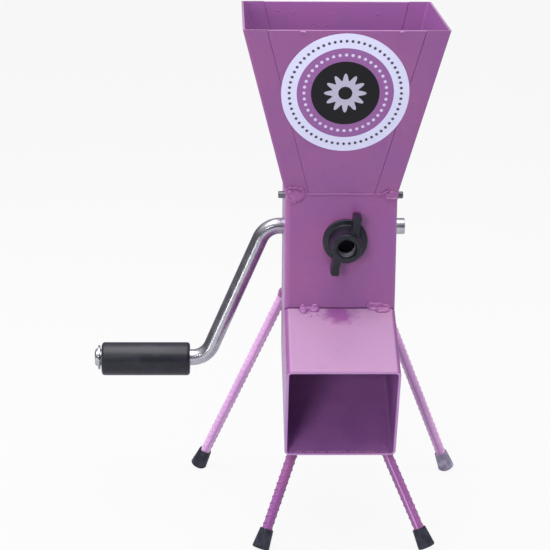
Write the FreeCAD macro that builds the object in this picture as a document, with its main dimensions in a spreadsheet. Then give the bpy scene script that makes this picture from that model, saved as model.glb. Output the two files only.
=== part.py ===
import FreeCAD, Part
import math
import os

import Sketcher

# Hand-cranked nut cracker of square steel tube, standing on four legs of reinforcing bar.
# +X is to the right of someone facing the outlet, +Y is away from them, +Z is up.
# Everything is placed from the point on the ground under the tube's axis; the last step moves the
# origin to the middle of the base.

doc = FreeCAD.newDocument("crank_nut_cracker")

# ---------------------------------------------------------------- driving dimensions (mm, degrees)

SIZES = [
    ("tube_side", 80, "outside width of the square tube"),
    ("tube_wall", 2, "wall of the square tube"),
    ("tube_corner", 4, "outside corner radius of the square tube"),
    ("body_lift", 168, "ground to the lower front edge of the body"),
    ("body_rise", 84, "height of the body's front"),
    ("chute_tilt", 23, "slope of the chute below the horizontal"),
    ("roof_run", 70, "length of the chute's roof"),
    ("mouth_width", 142, "hopper's top, left to right"),
    ("mouth_depth", 141.5, "hopper's top, front to back"),
    ("hopper_rise", 121.6, "height of the hopper"),
    ("hopper_sheet", 1.5, "thickness of the hopper's sheet"),
    ("flange_width", 16.5, "side plate's fold on the front and back"),
    ("label_radius", 44.3, "round sticker"),
    ("label_drop", 46.6, "hopper's top edge to the sticker's middle, along the plate"),
    ("label_film", 0.3, "thickness of the sticker"),
    ("shaft_back", 16, "shaft behind the tube's axis"),
    ("shaft_up", 46.4, "shaft above the body's lower front edge"),
    ("bar_dia", 12, "crank bar"),
    ("stub_out", 10.3, "shaft's free end beyond the right wall"),
    ("arm_start", 52.7, "tube's axis to the arm's upper corner"),
    ("arm_end", 97.1, "tube's axis to the arm's lower corner"),
    ("crank_throw", 102.7, "shaft to handle rod"),
    ("bend_radius", 16, "crank bar's bends, on its axis"),
    ("peen_dia", 13.4, "peened end of the rod"),
    ("peen_length", 2.6, "peened end of the rod"),
    ("grip_start", 109.3, "tube's axis to the grip's near end"),
    ("grip_length", 66.4, "grip"),
    ("grip_dia", 25, "grip"),
    ("grip_play", 1.5, "radial play of the grip on the rod"),
    ("grip_round", 2.2, "rounding of the grip's ends"),
    ("hanging_gap", 0.3, "what stays between a loose piece and the rod above it"),
    ("grip_washer_dia", 18.4, "washer at the grip's end"),
    ("grip_washer_thick", 1.4, "washer at the grip's end"),
    ("grip_washer_play", 0.45, "radial play of that washer on the rod"),
    ("grip_end_play", 1.3, "between the grip and that washer"),
    ("shaft_hole_play", 0.4, "radial play of the shaft in the tube's walls"),
    ("running_play", 0.06, "radial play of a shaft or pin in its bearing"),
    ("seated_play", 0.02, "radial play of a piece fixed on the shaft"),
    ("bush_dia", 22, "shaft bush"),
    ("bush_length", 7, "shaft bush, inside the wall"),
    ("thrust_thick", 1, "thrust washer"),
    ("end_play", 0.3, "between thrust washer and drum"),
    ("drum_dia", 32, "toothed drum over its teeth"),
    ("tooth_depth", 2.4, "drum's teeth"),
    ("drum_teeth", 14, "teeth round the drum"),
    ("drum_pin_dia", 5, "pin through drum and shaft"),
    ("hinge_pin_dia", 5, "pin that the jaw hangs on"),
    ("hinge_pin_out", 4.8, "that pin's ends beyond the walls"),
    ("hinge_front", 26, "jaw's pin ahead of the tube's axis"),
    ("hinge_up", 80.3, "jaw's pin above the body's lower front edge"),
    ("knuckle_dia", 10, "tube round the jaw's pin"),
    ("side_play", 2, "between jaw and side wall, each side"),
    ("jaw_thick", 8, "jaw plate"),
    ("jaw_length", 56, "pin to the jaw's lower edge"),
    ("jaw_tilt", 14, "jaw's lean towards the drum at rest"),
    ("jaw_closing", 5.5, "jaw's swing from rest towards the drum"),
    ("jaw_opening", 13.4, "jaw's swing from rest towards the front"),
    ("groove_pitch", 6, "grooves across the jaw"),
    ("groove_depth", 1.6, "grooves across the jaw"),
    ("groove_count", 8, "grooves across the jaw"),
    ("stud_dia", 12, "adjusting stud"),
    ("stud_side", 2.9, "stud to the right of the tube's axis"),
    ("stud_up", 50, "stud above the body's lower front edge"),
    ("stud_reach", 12, "stud's outer end ahead of the front wall at rest"),
    ("stud_play", 0.4, "radial play of the stud in the front wall"),
    ("stud_tip", 1, "chamfer on the stud's outer end"),
    ("ball_radius", 8.5, "stud's round head"),
    ("ball_proud", 2.5, "head's centre ahead of the jaw's middle plane"),
    ("ball_flat", 1.5, "head's centre to its flat"),
    ("ball_play", 0.5, "between head and its seat in the jaw"),
    ("slot_play", 0.7, "between stud and the sides of its slot in the jaw"),
    ("spring_wire", 2, "adjusting spring"),
    ("spring_inside", 13.2, "adjusting spring's inner diameter"),
    ("spring_turns", 3.25, "adjusting spring"),
    ("spring_gap", 0.25, "between spring and what it bears on"),
    ("flange_dia", 32, "wing nut's flange"),
    ("flange_thick", 2.6, "wing nut's flange"),
    ("nut_height", 24, "wing nut"),
    ("nut_gap", 0.2, "between wing nut and wall"),
    ("collar_dia", 28.4, "foot of the wing nut's hub"),
    ("rim_dia", 20.5, "wing nut's outer rim"),
    ("wing_reach", 23.6, "wing nut's axis to the tip of a wing"),
    ("wing_root", 4.8, "wing's thickness at the hub"),
    ("wing_tip", 5.8, "wing's thickness at its tip"),
    ("wing_low", 4, "flange's foot to the wing's lower edge"),
    ("wing_high", 18, "flange's foot to the wing's upper edge"),
    ("wing_angle", 24.1, "wings' lean from upright at rest"),
    ("lip_thick", 1.4, "plastic lip over the insert's end"),
    ("lip_dia", 14, "hole in that lip"),
    ("insert_dia", 16.4, "threaded insert"),
    ("insert_play", 0.15, "radial play of the stud in the insert's thread"),
    ("thread_pitch", 1.75, "thread of stud and insert"),
    ("thread_depth", 0.8, "thread of the insert"),
    ("leg_core", 7.2, "reinforcing bar between its ribs"),
    ("leg_rib", 0.4, "height of the bar's ribs"),
    ("rib_pitch", 5, "spacing of the bar's ribs"),
    ("rib_width", 1.6, "bar's ribs at their foot"),
    ("rib_start", 1, "bar's end to its first rib"),
    ("front_leg_side", 32, "front legs' tops from the tube's axis"),
    ("front_leg_ahead", 64, "front legs' tops ahead of the tube's axis"),
    ("rear_leg_side", 36, "rear legs' tops from the tube's axis"),
    ("rear_left_drop", 10, "rear left leg's top below the body's lower front edge"),
    ("rear_right_drop", 17, "rear right leg's top below it"),
    ("front_left_spread", 57.2, "front left foot from the tube's axis, sideways"),
    ("front_left_ahead", 89.5, "front left foot from the tube's axis, forwards"),
    ("front_right_spread", 63.2, "front right foot, sideways"),
    ("front_right_ahead", 88, "front right foot, forwards"),
    ("rear_left_spread", 104.3, "rear left foot, sideways"),
    ("rear_left_behind", 76, "rear left foot, backwards"),
    ("rear_right_spread", 94.2, "rear right foot, sideways"),
    ("rear_right_behind", 70, "rear right foot, backwards"),
    ("cap_length", 15, "leg cap"),
    ("cap_top_dia", 9.8, "leg cap where the leg goes in"),
    ("cap_foot_dia", 12.8, "leg cap at its foot"),
    ("cap_floor", 4, "leg cap's solid end"),
    ("cap_play", 0.1, "radial play of the leg in its cap"),
    ("cap_bite", 1.2, "how deep the ground's plane cuts the cap's foot"),
    ("weld_lump", 2, "how far a weld lump stands out of the tube's front"),
    ("upper_left_side", -32.2, "upper left bead's middle from the tube's axis"),
    ("upper_left_up", 83, "upper left bead's middle above the body's lower front edge"),
    ("upper_left_half", 2.2, "half of that bead's straight length"),
    ("upper_left_radius", 5.6, "that bead's round"),
    ("upper_right_side", 33.8, "the same of the upper right bead"),
    ("upper_right_up", 84, "the same"),
    ("upper_right_half", 1.6, "the same"),
    ("upper_right_radius", 4.6, "the same"),
    ("lower_left_side", -22.2, "the same of the lower left bead"),
    ("lower_left_up", -0.6, "the same"),
    ("lower_left_half", 4.6, "the same"),
    ("lower_left_radius", 4.4, "the same"),
    ("lower_right_side", 28.7, "the same of the lower right bead"),
    ("lower_right_up", -0.2, "the same"),
    ("lower_right_half", 5.2, "the same"),
    ("lower_right_radius", 4.6, "the same"),
    ("leg_weld", 6, "radius of the weld round a leg's top"),
    ("leg_past_top", 8, "length of a front leg's blank that the tube's plane cuts off"),
    ("weld_fit", 0.05, "between that weld and the leg's ribs"),
]

sheet = doc.addObject("Spreadsheet::Sheet", "Sizes")
for row, (alias, number, meaning) in enumerate(SIZES, start=1):
    sheet.set(f"A{row}", meaning)
    sheet.set(f"B{row}", str(number))
    sheet.setAlias(f"B{row}", alias)
doc.recompute()


def size(alias):
    """A driving dimension's value."""
    return float(sheet.get(alias))


def value(expression):
    """What an expression on the sheet comes to."""
    return float(sheet.evalExpression(expression))


# ---------------------------------------------------------------- helpers

ALONG_X = FreeCAD.Rotation(FreeCAD.Vector(0, 1, 0), 90)    # a piece's own Z axis turned to +X
TO_FRONT = FreeCAD.Rotation(FreeCAD.Vector(1, 0, 0), 90)   # a piece's own Z axis turned to -Y

MARGIN = 5          # how far a cutting tool runs past what it cuts
FAR = 400           # reaches past the whole object

parts = []          # the finished sub-parts, in the order in which they are written


def finished(part, name):
    """Names a sub-part and puts it on the list of those that are written."""
    part.Label = name
    parts.append(part)
    return part


def place(part, x, y, z, rotation=FreeCAD.Rotation()):
    part.Placement = FreeCAD.Placement(FreeCAD.Vector(x, y, z), rotation)
    return part


def bind(item, **expressions):
    """Binds an object's sizes to expressions on the sheet."""
    for name, expression in expressions.items():
        item.setExpression(name, expression)
    return item


def new_body(name):
    return doc.addObject("PartDesign::Body", name + "_body")


def new_sketch(body, name, plane, lift=None):
    """A sketch on one of its body's origin planes, lifted off it by an expression if one is given."""
    sketch = body.newObject("Sketcher::SketchObject", name)
    datum = [item for item in body.Origin.OriginFeatures if item.Role == plane]
    sketch.AttachmentSupport = (datum[0], [""])
    sketch.MapMode = "FlatFace"
    if lift:
        sketch.setExpression("AttachmentOffset.Base.z", lift)
    return sketch


def fix_point(sketch, line, end, x, y):
    """Ties the end of a line or the middle of a circle to two expressions."""
    for kind, expression in (("DistanceX", x), ("DistanceY", y)):
        rule = Sketcher.Constraint(kind, -1, 1, line, end, value(expression))
        number = sketch.addConstraint(rule)
        sketch.setExpression(f"Constraints[{number}]", expression)


def add_outline(sketch, corners):
    """A closed outline of straight lines, each corner tied to its two expressions."""
    points = [FreeCAD.Vector(value(x), value(y), 0) for x, y in corners]
    first = sketch.GeometryCount
    count = len(points)
    for i in range(count):
        sketch.addGeometry(Part.LineSegment(points[i], points[(i + 1) % count]), False)
    for i in range(count):
        sketch.addConstraint(Sketcher.Constraint("Coincident", first + i, 2, first + (i + 1) % count, 1))
    for i, (x, y) in enumerate(corners):
        fix_point(sketch, first + i, 1, x, y)


def add_circle(sketch, x, y, radius):
    middle = FreeCAD.Vector(value(x), value(y), 0)
    circle = Part.Circle(middle, FreeCAD.Vector(0, 0, 1), value(radius))
    ring = sketch.addGeometry(circle, False)
    number = sketch.addConstraint(Sketcher.Constraint("Radius", ring, value(radius)))
    sketch.setExpression(f"Constraints[{number}]", radius)
    fix_point(sketch, ring, 3, x, y)


def pad(body, sketch, length, name, midplane=False):
    feature = body.newObject("PartDesign::Pad", name)
    feature.Profile = sketch
    if isinstance(length, str):
        feature.setExpression("Length", length)
    else:
        feature.Length = length
    feature.Midplane = midplane
    return feature


def pocket_through(body, sketch, name, midplane=False, reverse=False):
    """A cut through everything: on both sides of the sketch, or on one."""
    feature = body.newObject("PartDesign::Pocket", name)
    feature.Profile = sketch
    feature.Type = "ThroughAll"
    feature.Midplane = midplane
    feature.Reversed = reverse
    return feature


def revolve(body, sketch, name, axis="V_Axis"):
    feature = body.newObject("PartDesign::Revolution", name)
    feature.Profile = sketch
    feature.ReferenceAxis = (sketch, [axis])
    feature.Angle = 360
    return feature


def round_edges(body, feature, name, radius, wanted):
    """Rounds those edges of a feature that the test picks."""
    doc.recompute()
    edges = [f"Edge{i}" for i, edge in enumerate(feature.Shape.Edges, start=1) if wanted(edge)]
    fillet = body.newObject("PartDesign::Fillet", name)
    fillet.Base = (feature, edges)
    fillet.setExpression("Radius", radius)
    return fillet


def is_rim(edge, radius):
    """Whether an edge is a whole circle of this radius."""
    curve = edge.Curve
    return isinstance(curve, Part.Circle) and abs(curve.Radius - radius) < 1e-6 and edge.Closed


def is_upright(edge):
    """Whether an edge is straight and runs along its body's own Z axis."""
    return isinstance(edge.Curve, Part.Line) and abs(edge.Curve.Direction.z) > 1 - 1e-6


def ring(name, outside, inside, length):
    """A plain tube or washer along its own Z axis, from the diameter outside and the radius inside."""
    body = new_body(name)
    sketch = new_sketch(body, name + "_section", "XY_Plane")
    add_circle(sketch, "0", "0", f"({outside}) / 2")
    add_circle(sketch, "0", "0", inside)
    pad(body, sketch, length, name + "_length")
    return finished(body, name)


def cut(base, tool, name):
    feature = doc.addObject("Part::Cut", name)
    feature.Base = base
    feature.Tool = tool
    return feature


def fuse(items, name):
    feature = doc.addObject("Part::MultiFuse", name)
    feature.Shapes = items
    return feature


def group(items, name):
    """Separate solids that share one node."""
    feature = doc.addObject("Part::Compound", name)
    feature.Links = items
    return feature


def common(base, tool, name):
    feature = doc.addObject("Part::Common", name)
    feature.Base = base
    feature.Tool = tool
    return feature


# ---------------------------------------------------------------- body and chute

HALF = "Sizes.tube_side / 2"
MITRE = "(Sizes.tube_side * tan(45 - Sizes.chute_tilt / 2))"   # the mitre's fall across the tube


def add_square(sketch, inset, middle):
    """The tube's outline, in from its outside by an expression, with rounded corners.

    The middle is the outline's middle height, as an expression."""
    reach = f"({HALF} - ({inset}))"
    low = f"({middle} - {reach})"
    high = f"({middle} + {reach})"
    radius = f"(Sizes.tube_corner - ({inset}))"
    half, bend = value(reach), value(radius)
    bottom, top = value(low), value(high)
    corners = [
        (half - bend, bottom + bend, 270), (half - bend, top - bend, 0),
        (-half + bend, top - bend, 90), (-half + bend, bottom + bend, 180),
    ]
    first = sketch.GeometryCount
    for x, y, start in corners:
        circle = Part.Circle(FreeCAD.Vector(x, y, 0), FreeCAD.Vector(0, 0, 1), bend)
        sketch.addGeometry(Part.ArcOfCircle(circle, math.radians(start), math.radians(start + 90)), False)
    doc.recompute()
    for i in range(4):
        end = sketch.getPoint(first + i, 2)
        start = sketch.getPoint(first + (i + 1) % 4, 1)
        sketch.addGeometry(Part.LineSegment(end, start), False)
    for i in range(4):
        line = first + 4 + i
        sketch.addConstraint(Sketcher.Constraint("Tangent", first + i, 2, line, 1))
        sketch.addConstraint(Sketcher.Constraint("Tangent", line, 2, first + (i + 1) % 4, 1))
    for i in range(1, 4):
        sketch.addConstraint(Sketcher.Constraint("Equal", first, first + i))
    number = sketch.addConstraint(Sketcher.Constraint("Radius", first, bend))
    sketch.setExpression(f"Constraints[{number}]", radius)
    # The sides are, in order: right, top, left, bottom.
    for i, kind in enumerate(("Vertical", "Horizontal", "Vertical", "Horizontal")):
        sketch.addConstraint(Sketcher.Constraint(kind, first + 4 + i))
    for i, kind, expression in ((4, "DistanceX", reach), (5, "DistanceY", high),
                                (6, "DistanceX", "-" + reach), (7, "DistanceY", low)):
        rule = Sketcher.Constraint(kind, -1, 1, first + i, 1, value(expression))
        number = sketch.addConstraint(rule)
        sketch.setExpression(f"Constraints[{number}]", expression)


def make_body_tube():
    """Upright tube; its own origin is on its axis at the height of the lower front edge."""
    body = new_body("body_tube")
    section = new_sketch(body, "body_section", "XY_Plane", f"-{MITRE}")
    add_square(section, "0", "0")
    add_square(section, "Sizes.tube_wall", "0")
    pad(body, section, f"Sizes.body_rise + {MITRE}", "body_wall")

    mitre = new_sketch(body, "body_mitre_line", "YZ_Plane")
    past = f"(1 + {MARGIN} / ({HALF}))"
    add_outline(mitre, [
        (f"-{HALF} * {past}", f"{MITRE} / 2 * ({past} - 1)"),
        (f"{HALF} * {past}", f"-{MITRE} / 2 * ({past} + 1)"),
        (f"-{HALF} * {past}", f"-{MITRE} / 2 * ({past} + 1)"),
    ])
    pocket_through(body, mitre, "body_mitre", midplane=True)

    bores = new_sketch(body, "side_bores", "YZ_Plane")
    add_circle(bores, "Sizes.shaft_back", "Sizes.shaft_up", "Sizes.bar_dia / 2 + Sizes.shaft_hole_play")
    add_circle(bores, "-Sizes.hinge_front", "Sizes.hinge_up", "Sizes.hinge_pin_dia / 2 + Sizes.seated_play")
    pocket_through(body, bores, "side_holes", midplane=True)

    bore = new_sketch(body, "stud_bore", "XZ_Plane")
    add_circle(bore, "Sizes.stud_side", "Sizes.stud_up", "Sizes.stud_dia / 2 + Sizes.stud_play")
    pocket_through(body, bore, "stud_hole", reverse=True)
    place(body, 0, 0, size("body_lift"))
    return finished(body, "body_tube")


def make_chute_tube():
    """Sloping tube; its own origin is on the inner corner of the mitre and its own Z axis runs to
    the outlet, with its own Y axis square to the roof."""
    body = new_body("chute_tube")
    section = new_sketch(body, "chute_section", "XY_Plane", f"-{MITRE}")
    add_square(section, "0", f"-{HALF}")
    add_square(section, "Sizes.tube_wall", f"-{HALF}")
    pad(body, section, f"Sizes.roof_run + {MITRE}", "chute_wall")

    mitre = new_sketch(body, "chute_mitre_line", "YZ_Plane")
    slope = f"({MITRE} / Sizes.tube_side)"
    add_outline(mitre, [
        (f"{MARGIN}", f"{MARGIN} * {slope}"),
        (f"{MARGIN}", f"-({MITRE} + {MARGIN} * {slope})"),
        (f"-(Sizes.tube_side + {MARGIN})", f"-({MITRE} + {MARGIN} * {slope})"),
    ])
    pocket_through(body, mitre, "chute_mitre", midplane=True)
    turn = FreeCAD.Rotation(FreeCAD.Vector(1, 0, 0), 90 + size("chute_tilt"))
    place(body, 0, -size("tube_side") / 2, size("body_lift"), turn)
    return finished(body, "chute_tube")


# ---------------------------------------------------------------- hopper

def hopper_half(mouth, height, less="0"):
    """Half the hopper's outside width at a height above the body, as an expression."""
    return f"({HALF} + ({mouth} / 2 - {HALF}) * ({height}) / Sizes.hopper_rise - ({less}))"


def make_wedge(name, low, high, half_x, front, back):
    """A tapering block standing on end; each width is a function of the height."""
    wedge = doc.addObject("Part::Wedge", name)
    bind(wedge, Ymin=low, Ymax=high,
         Xmin="-" + half_x(low), Xmax=half_x(low), X2min="-" + half_x(high), X2max=half_x(high),
         Zmin="-" + back(low), Zmax=front(low), Z2min="-" + back(high), Z2max=front(high))
    place(wedge, 0, 0, size("body_lift") + size("body_rise"), TO_FRONT)
    return wedge


def make_hopper():
    """Four sheets: front and back plates between the folded flanges of the two side plates."""
    wide, deep = "Sizes.mouth_width", "Sizes.mouth_depth"
    below, above = f"-{MARGIN}", f"(Sizes.hopper_rise + {MARGIN})"
    sheet_x = f"Sizes.hopper_sheet / cos(atan(({wide} / 2 - {HALF}) / Sizes.hopper_rise))"
    sheet_y = f"Sizes.hopper_sheet / cos(atan(({deep} / 2 - {HALF}) / Sizes.hopper_rise))"

    outer = make_wedge("hopper_outside", "0", "Sizes.hopper_rise", lambda h: hopper_half(wide, h),
                       lambda h: hopper_half(deep, h), lambda h: hopper_half(deep, h))
    inner = make_wedge("hopper_inside", below, above, lambda h: hopper_half(wide, h, sheet_x),
                       lambda h: hopper_half(deep, h, sheet_y), lambda h: hopper_half(deep, h, sheet_y))
    shell = cut(outer, inner, "hopper_shell")

    def seam(height):
        return hopper_half(wide, height, "Sizes.flange_width")

    front_zone = make_wedge("front_zone", below, above, seam, lambda h: f"{FAR}", lambda h: "0")
    back_zone = make_wedge("back_zone", below, above, seam, lambda h: "0", lambda h: f"{FAR}")
    finished(common(shell, front_zone, "front_sheet"), "hopper_front_plate")
    finished(common(shell, back_zone, "back_sheet"), "hopper_back_plate")

    sides = cut(shell, fuse([front_zone, back_zone], "plate_zones"), "side_sheets")
    for name, start in (("hopper_left_side", 0), ("hopper_right_side", -FAR)):
        other = doc.addObject("Part::Box", name + "_other_half")
        other.Length = FAR
        other.Width = 2 * FAR
        other.Height = 2 * FAR
        place(other, start, -FAR, 0)
        finished(cut(sides, other, name + "_sheet"), name)


def front_slope():
    """The front plate's lean from upright, in degrees."""
    run = size("mouth_depth") / 2 - size("tube_side") / 2
    return math.degrees(math.atan2(run, size("hopper_rise")))


def make_label():
    """Round sticker flat on the front plate."""
    slope = math.radians(front_slope())
    disc = bind(doc.addObject("Part::Cylinder", "sticker"), Radius="Sizes.label_radius", Height="Sizes.label_film")
    turn = FreeCAD.Rotation(FreeCAD.Vector(1, 0, 0), 90 + front_slope())
    top = size("body_lift") + size("body_rise") + size("hopper_rise")
    y = -size("mouth_depth") / 2 + size("label_drop") * math.sin(slope)
    z = top - size("label_drop") * math.cos(slope)
    place(disc, 0, y, z, turn)
    return finished(disc, "hopper_label")


# ---------------------------------------------------------------- crank

SHAFT_Y = size("shaft_back")
SHAFT_Z = size("body_lift") + size("shaft_up")
ROD_Z = SHAFT_Z - size("crank_throw")


ROD_END = "(Sizes.grip_start + Sizes.grip_length + Sizes.grip_end_play + Sizes.grip_washer_thick)"
CRANK_LINES = [f"({HALF} + Sizes.stub_out)", "-Sizes.arm_start", "-Sizes.arm_end", f"-{ROD_END}"]


def make_crank_bar():
    """One bent bar: shaft, arm and handle rod. Its own origin is on the shaft's axis."""
    body = new_body("crank_bar")
    stub, upper, lower, end = CRANK_LINES
    path = new_sketch(body, "crank_path", "XZ_Plane")
    top = FreeCAD.Vector(value(upper), 0, 0)
    foot = FreeCAD.Vector(value(lower), -size("crank_throw"), 0)
    arm = (foot - top).normalize()
    turn = math.acos(-arm.x)
    bend = size("bend_radius")
    near = bend * math.tan(turn / 2)
    west = FreeCAD.Vector(-1, 0, 0)
    lines = [
        (FreeCAD.Vector(value(stub), 0, 0), top - west * near),
        (top + arm * near, foot - arm * near),
        (foot + west * near, FreeCAD.Vector(value(end), foot.y, 0)),
    ]
    for start, finish in lines:
        path.addGeometry(Part.LineSegment(start, finish), False)
    up = FreeCAD.Vector(0, 0, 1)
    upper_bend = Part.Circle(FreeCAD.Vector(top.x + near, -bend, 0), up, bend)
    lower_bend = Part.Circle(FreeCAD.Vector(foot.x - near, foot.y + bend, 0), up, bend)
    path.addGeometry(Part.ArcOfCircle(upper_bend, math.pi / 2, math.pi / 2 + turn), False)
    path.addGeometry(Part.ArcOfCircle(lower_bend, -math.pi / 2, -math.pi / 2 + turn), False)
    path.addGeometry(Part.Point(top), True)
    path.addGeometry(Part.Point(foot), True)
    for line, line_end, arc, arc_end in ((0, 2, 3, 1), (1, 1, 3, 2), (1, 2, 4, 2), (2, 1, 4, 1)):
        path.addConstraint(Sketcher.Constraint("Tangent", line, line_end, arc, arc_end))
    for arc in (3, 4):
        number = path.addConstraint(Sketcher.Constraint("Radius", arc, bend))
        path.setExpression(f"Constraints[{number}]", "Sizes.bend_radius")
    for line in (0, 2):
        path.addConstraint(Sketcher.Constraint("Horizontal", line))
    fix_point(path, 0, 1, stub, "0")
    fix_point(path, 2, 2, end, "-Sizes.crank_throw")
    fix_point(path, 5, 1, upper, "0")
    fix_point(path, 6, 1, lower, "-Sizes.crank_throw")
    for point in (5, 6):
        path.addConstraint(Sketcher.Constraint("PointOnObject", point, 1, 1))

    section = new_sketch(body, "bar_section", "YZ_Plane", stub)
    add_circle(section, "0", "0", "Sizes.bar_dia / 2")
    doc.recompute()
    bar = body.newObject("PartDesign::AdditivePipe", "bent_bar")
    bar.Profile = section
    bar.Spine = (path, [f"Edge{i}" for i in range(1, 6)])
    doc.recompute()

    peen = new_sketch(body, "peened_profile", "XZ_Plane")
    peen.setExpression("AttachmentOffset.Base.y", "-Sizes.crank_throw")
    add_outline(peen, [
        (f"{end} + Sizes.peen_length", "0"), (end, "0"),
        (end, "Sizes.peen_dia / 2"), (f"{end} - Sizes.peen_length", "Sizes.peen_dia / 2"),
        (f"{end} - Sizes.peen_length", "0"),
    ][1:])
    head = revolve(body, peen, "peened_end", "H_Axis")
    round_edges(body, head, "peened_dome", "Sizes.peen_length * 0.85",
                lambda edge: is_rim(edge, size("peen_dia") / 2) and edge.Curve.Center.x < value(end) - 1)
    cross = new_sketch(body, "bar_pin_bore", "XY_Plane")
    add_circle(cross, "0", "0", "Sizes.drum_pin_dia / 2 + Sizes.seated_play")
    pocket_through(body, cross, "bar_pin_hole", midplane=True)
    place(body, 0, SHAFT_Y, SHAFT_Z)
    return finished(body, "crank_bar")


DRUM_HALF = f"({HALF} - Sizes.tube_wall - Sizes.bush_length - Sizes.thrust_thick - Sizes.end_play)"


def make_drum():
    """Toothed drum on the shaft, and the pin through both."""
    body = new_body("crack_drum")
    section = new_sketch(body, "drum_section", "YZ_Plane")
    add_circle(section, "0", "0", "Sizes.drum_dia / 2")
    add_circle(section, "0", "0", "Sizes.bar_dia / 2 + Sizes.seated_play")
    pad(body, section, f"2 * {DRUM_HALF}", "drum_blank", midplane=True)
    gap = new_sketch(body, "tooth_gap", "YZ_Plane")
    wide = "(Sizes.drum_dia * 0.75 * pi / Sizes.drum_teeth)"
    out = "(Sizes.drum_dia / 2)"
    add_outline(gap, [
        (f"-{wide} * 0.5", f"{out} + 1"), (f"-{wide} * 0.06", f"{out} - Sizes.tooth_depth"),
        (f"{wide} * 0.06", f"{out} - Sizes.tooth_depth"), (f"{wide} * 0.5", f"{out} + 1"),
    ])
    groove = pocket_through(body, gap, "drum_groove", midplane=True)
    teeth = body.newObject("PartDesign::PolarPattern", "drum_grooves")
    teeth.Originals = [groove]
    teeth.Axis = (gap, ["N_Axis"])
    teeth.Angle = 360
    teeth.setExpression("Occurrences", "Sizes.drum_teeth")
    body.Tip = teeth
    cross = new_sketch(body, "drum_pin_bore", "XY_Plane")
    add_circle(cross, "0", "0", "Sizes.drum_pin_dia / 2 + Sizes.seated_play")
    pocket_through(body, cross, "drum_pin_hole", midplane=True)
    place(body, 0, SHAFT_Y, SHAFT_Z)
    finished(body, "crack_drum")

    length = "(Sizes.drum_dia - 2 * Sizes.tooth_depth)"
    pin = bind(doc.addObject("Part::Cylinder", "drum_cross_pin"), Radius="Sizes.drum_pin_dia / 2", Height=length)
    place(pin, 0, SHAFT_Y, SHAFT_Z - value(length) / 2)
    finished(pin, "drum_pin")


def make_grip():
    """Plastic tube that hangs loose on the rod, and the washer that keeps it on."""
    grip = new_body("handle_grip")
    section = new_sketch(grip, "grip_section", "XY_Plane")
    add_circle(section, "0", "0", "Sizes.grip_dia / 2")
    add_circle(section, "0", "0", "Sizes.bar_dia / 2 + Sizes.grip_play")
    tube = pad(grip, section, "Sizes.grip_length", "grip_tube")
    round_edges(grip, tube, "grip_ends", "Sizes.grip_round", lambda edge: is_rim(edge, size("grip_dia") / 2))
    drop = size("grip_play") - size("hanging_gap")
    place(grip, -size("grip_start") - size("grip_length"), SHAFT_Y, ROD_Z - drop, ALONG_X)
    finished(grip, "handle_grip")

    washer = ring("grip_washer", "Sizes.grip_washer_dia", "Sizes.bar_dia / 2 + Sizes.grip_washer_play",
                  "Sizes.grip_washer_thick")
    drop = size("grip_washer_play") - size("hanging_gap")
    place(washer, -value(ROD_END), SHAFT_Y, ROD_Z - drop, ALONG_X)


def make_bearings():
    """Bushes and thrust washers on both sides of the drum."""
    inside = size("tube_side") / 2 - size("tube_wall")
    length = size("bush_length")
    thick = size("thrust_thick")
    bore = "Sizes.bar_dia / 2 + Sizes.running_play"
    for name, bush_x, washer_x in (("left", -inside, -inside + length),
                                   ("right", inside - length, inside - length - thick)):
        bush = ring(name + "_shaft_bush", "Sizes.bush_dia", bore, "Sizes.bush_length")
        place(bush, bush_x, SHAFT_Y, SHAFT_Z, ALONG_X)
        washer = ring(name + "_thrust_washer", "Sizes.bush_dia - 2", bore, "Sizes.thrust_thick")
        place(washer, washer_x, SHAFT_Y, SHAFT_Z, ALONG_X)


# ---------------------------------------------------------------- jaw

HINGE_Y = -size("hinge_front")
HINGE_Z = size("body_lift") + size("hinge_up")
JAW_HALF = f"({HALF} - Sizes.tube_wall - Sizes.side_play)"
DROP = "(Sizes.hinge_up - Sizes.stud_up)"                       # stud's axis below the jaw's pin
CLOSED = "(Sizes.jaw_tilt + Sizes.jaw_closing)"                 # jaw's lean at its closed limit
SEAT_END = f"(({DROP} + Sizes.ball_proud * sin({CLOSED})) / cos({CLOSED}))"


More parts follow.
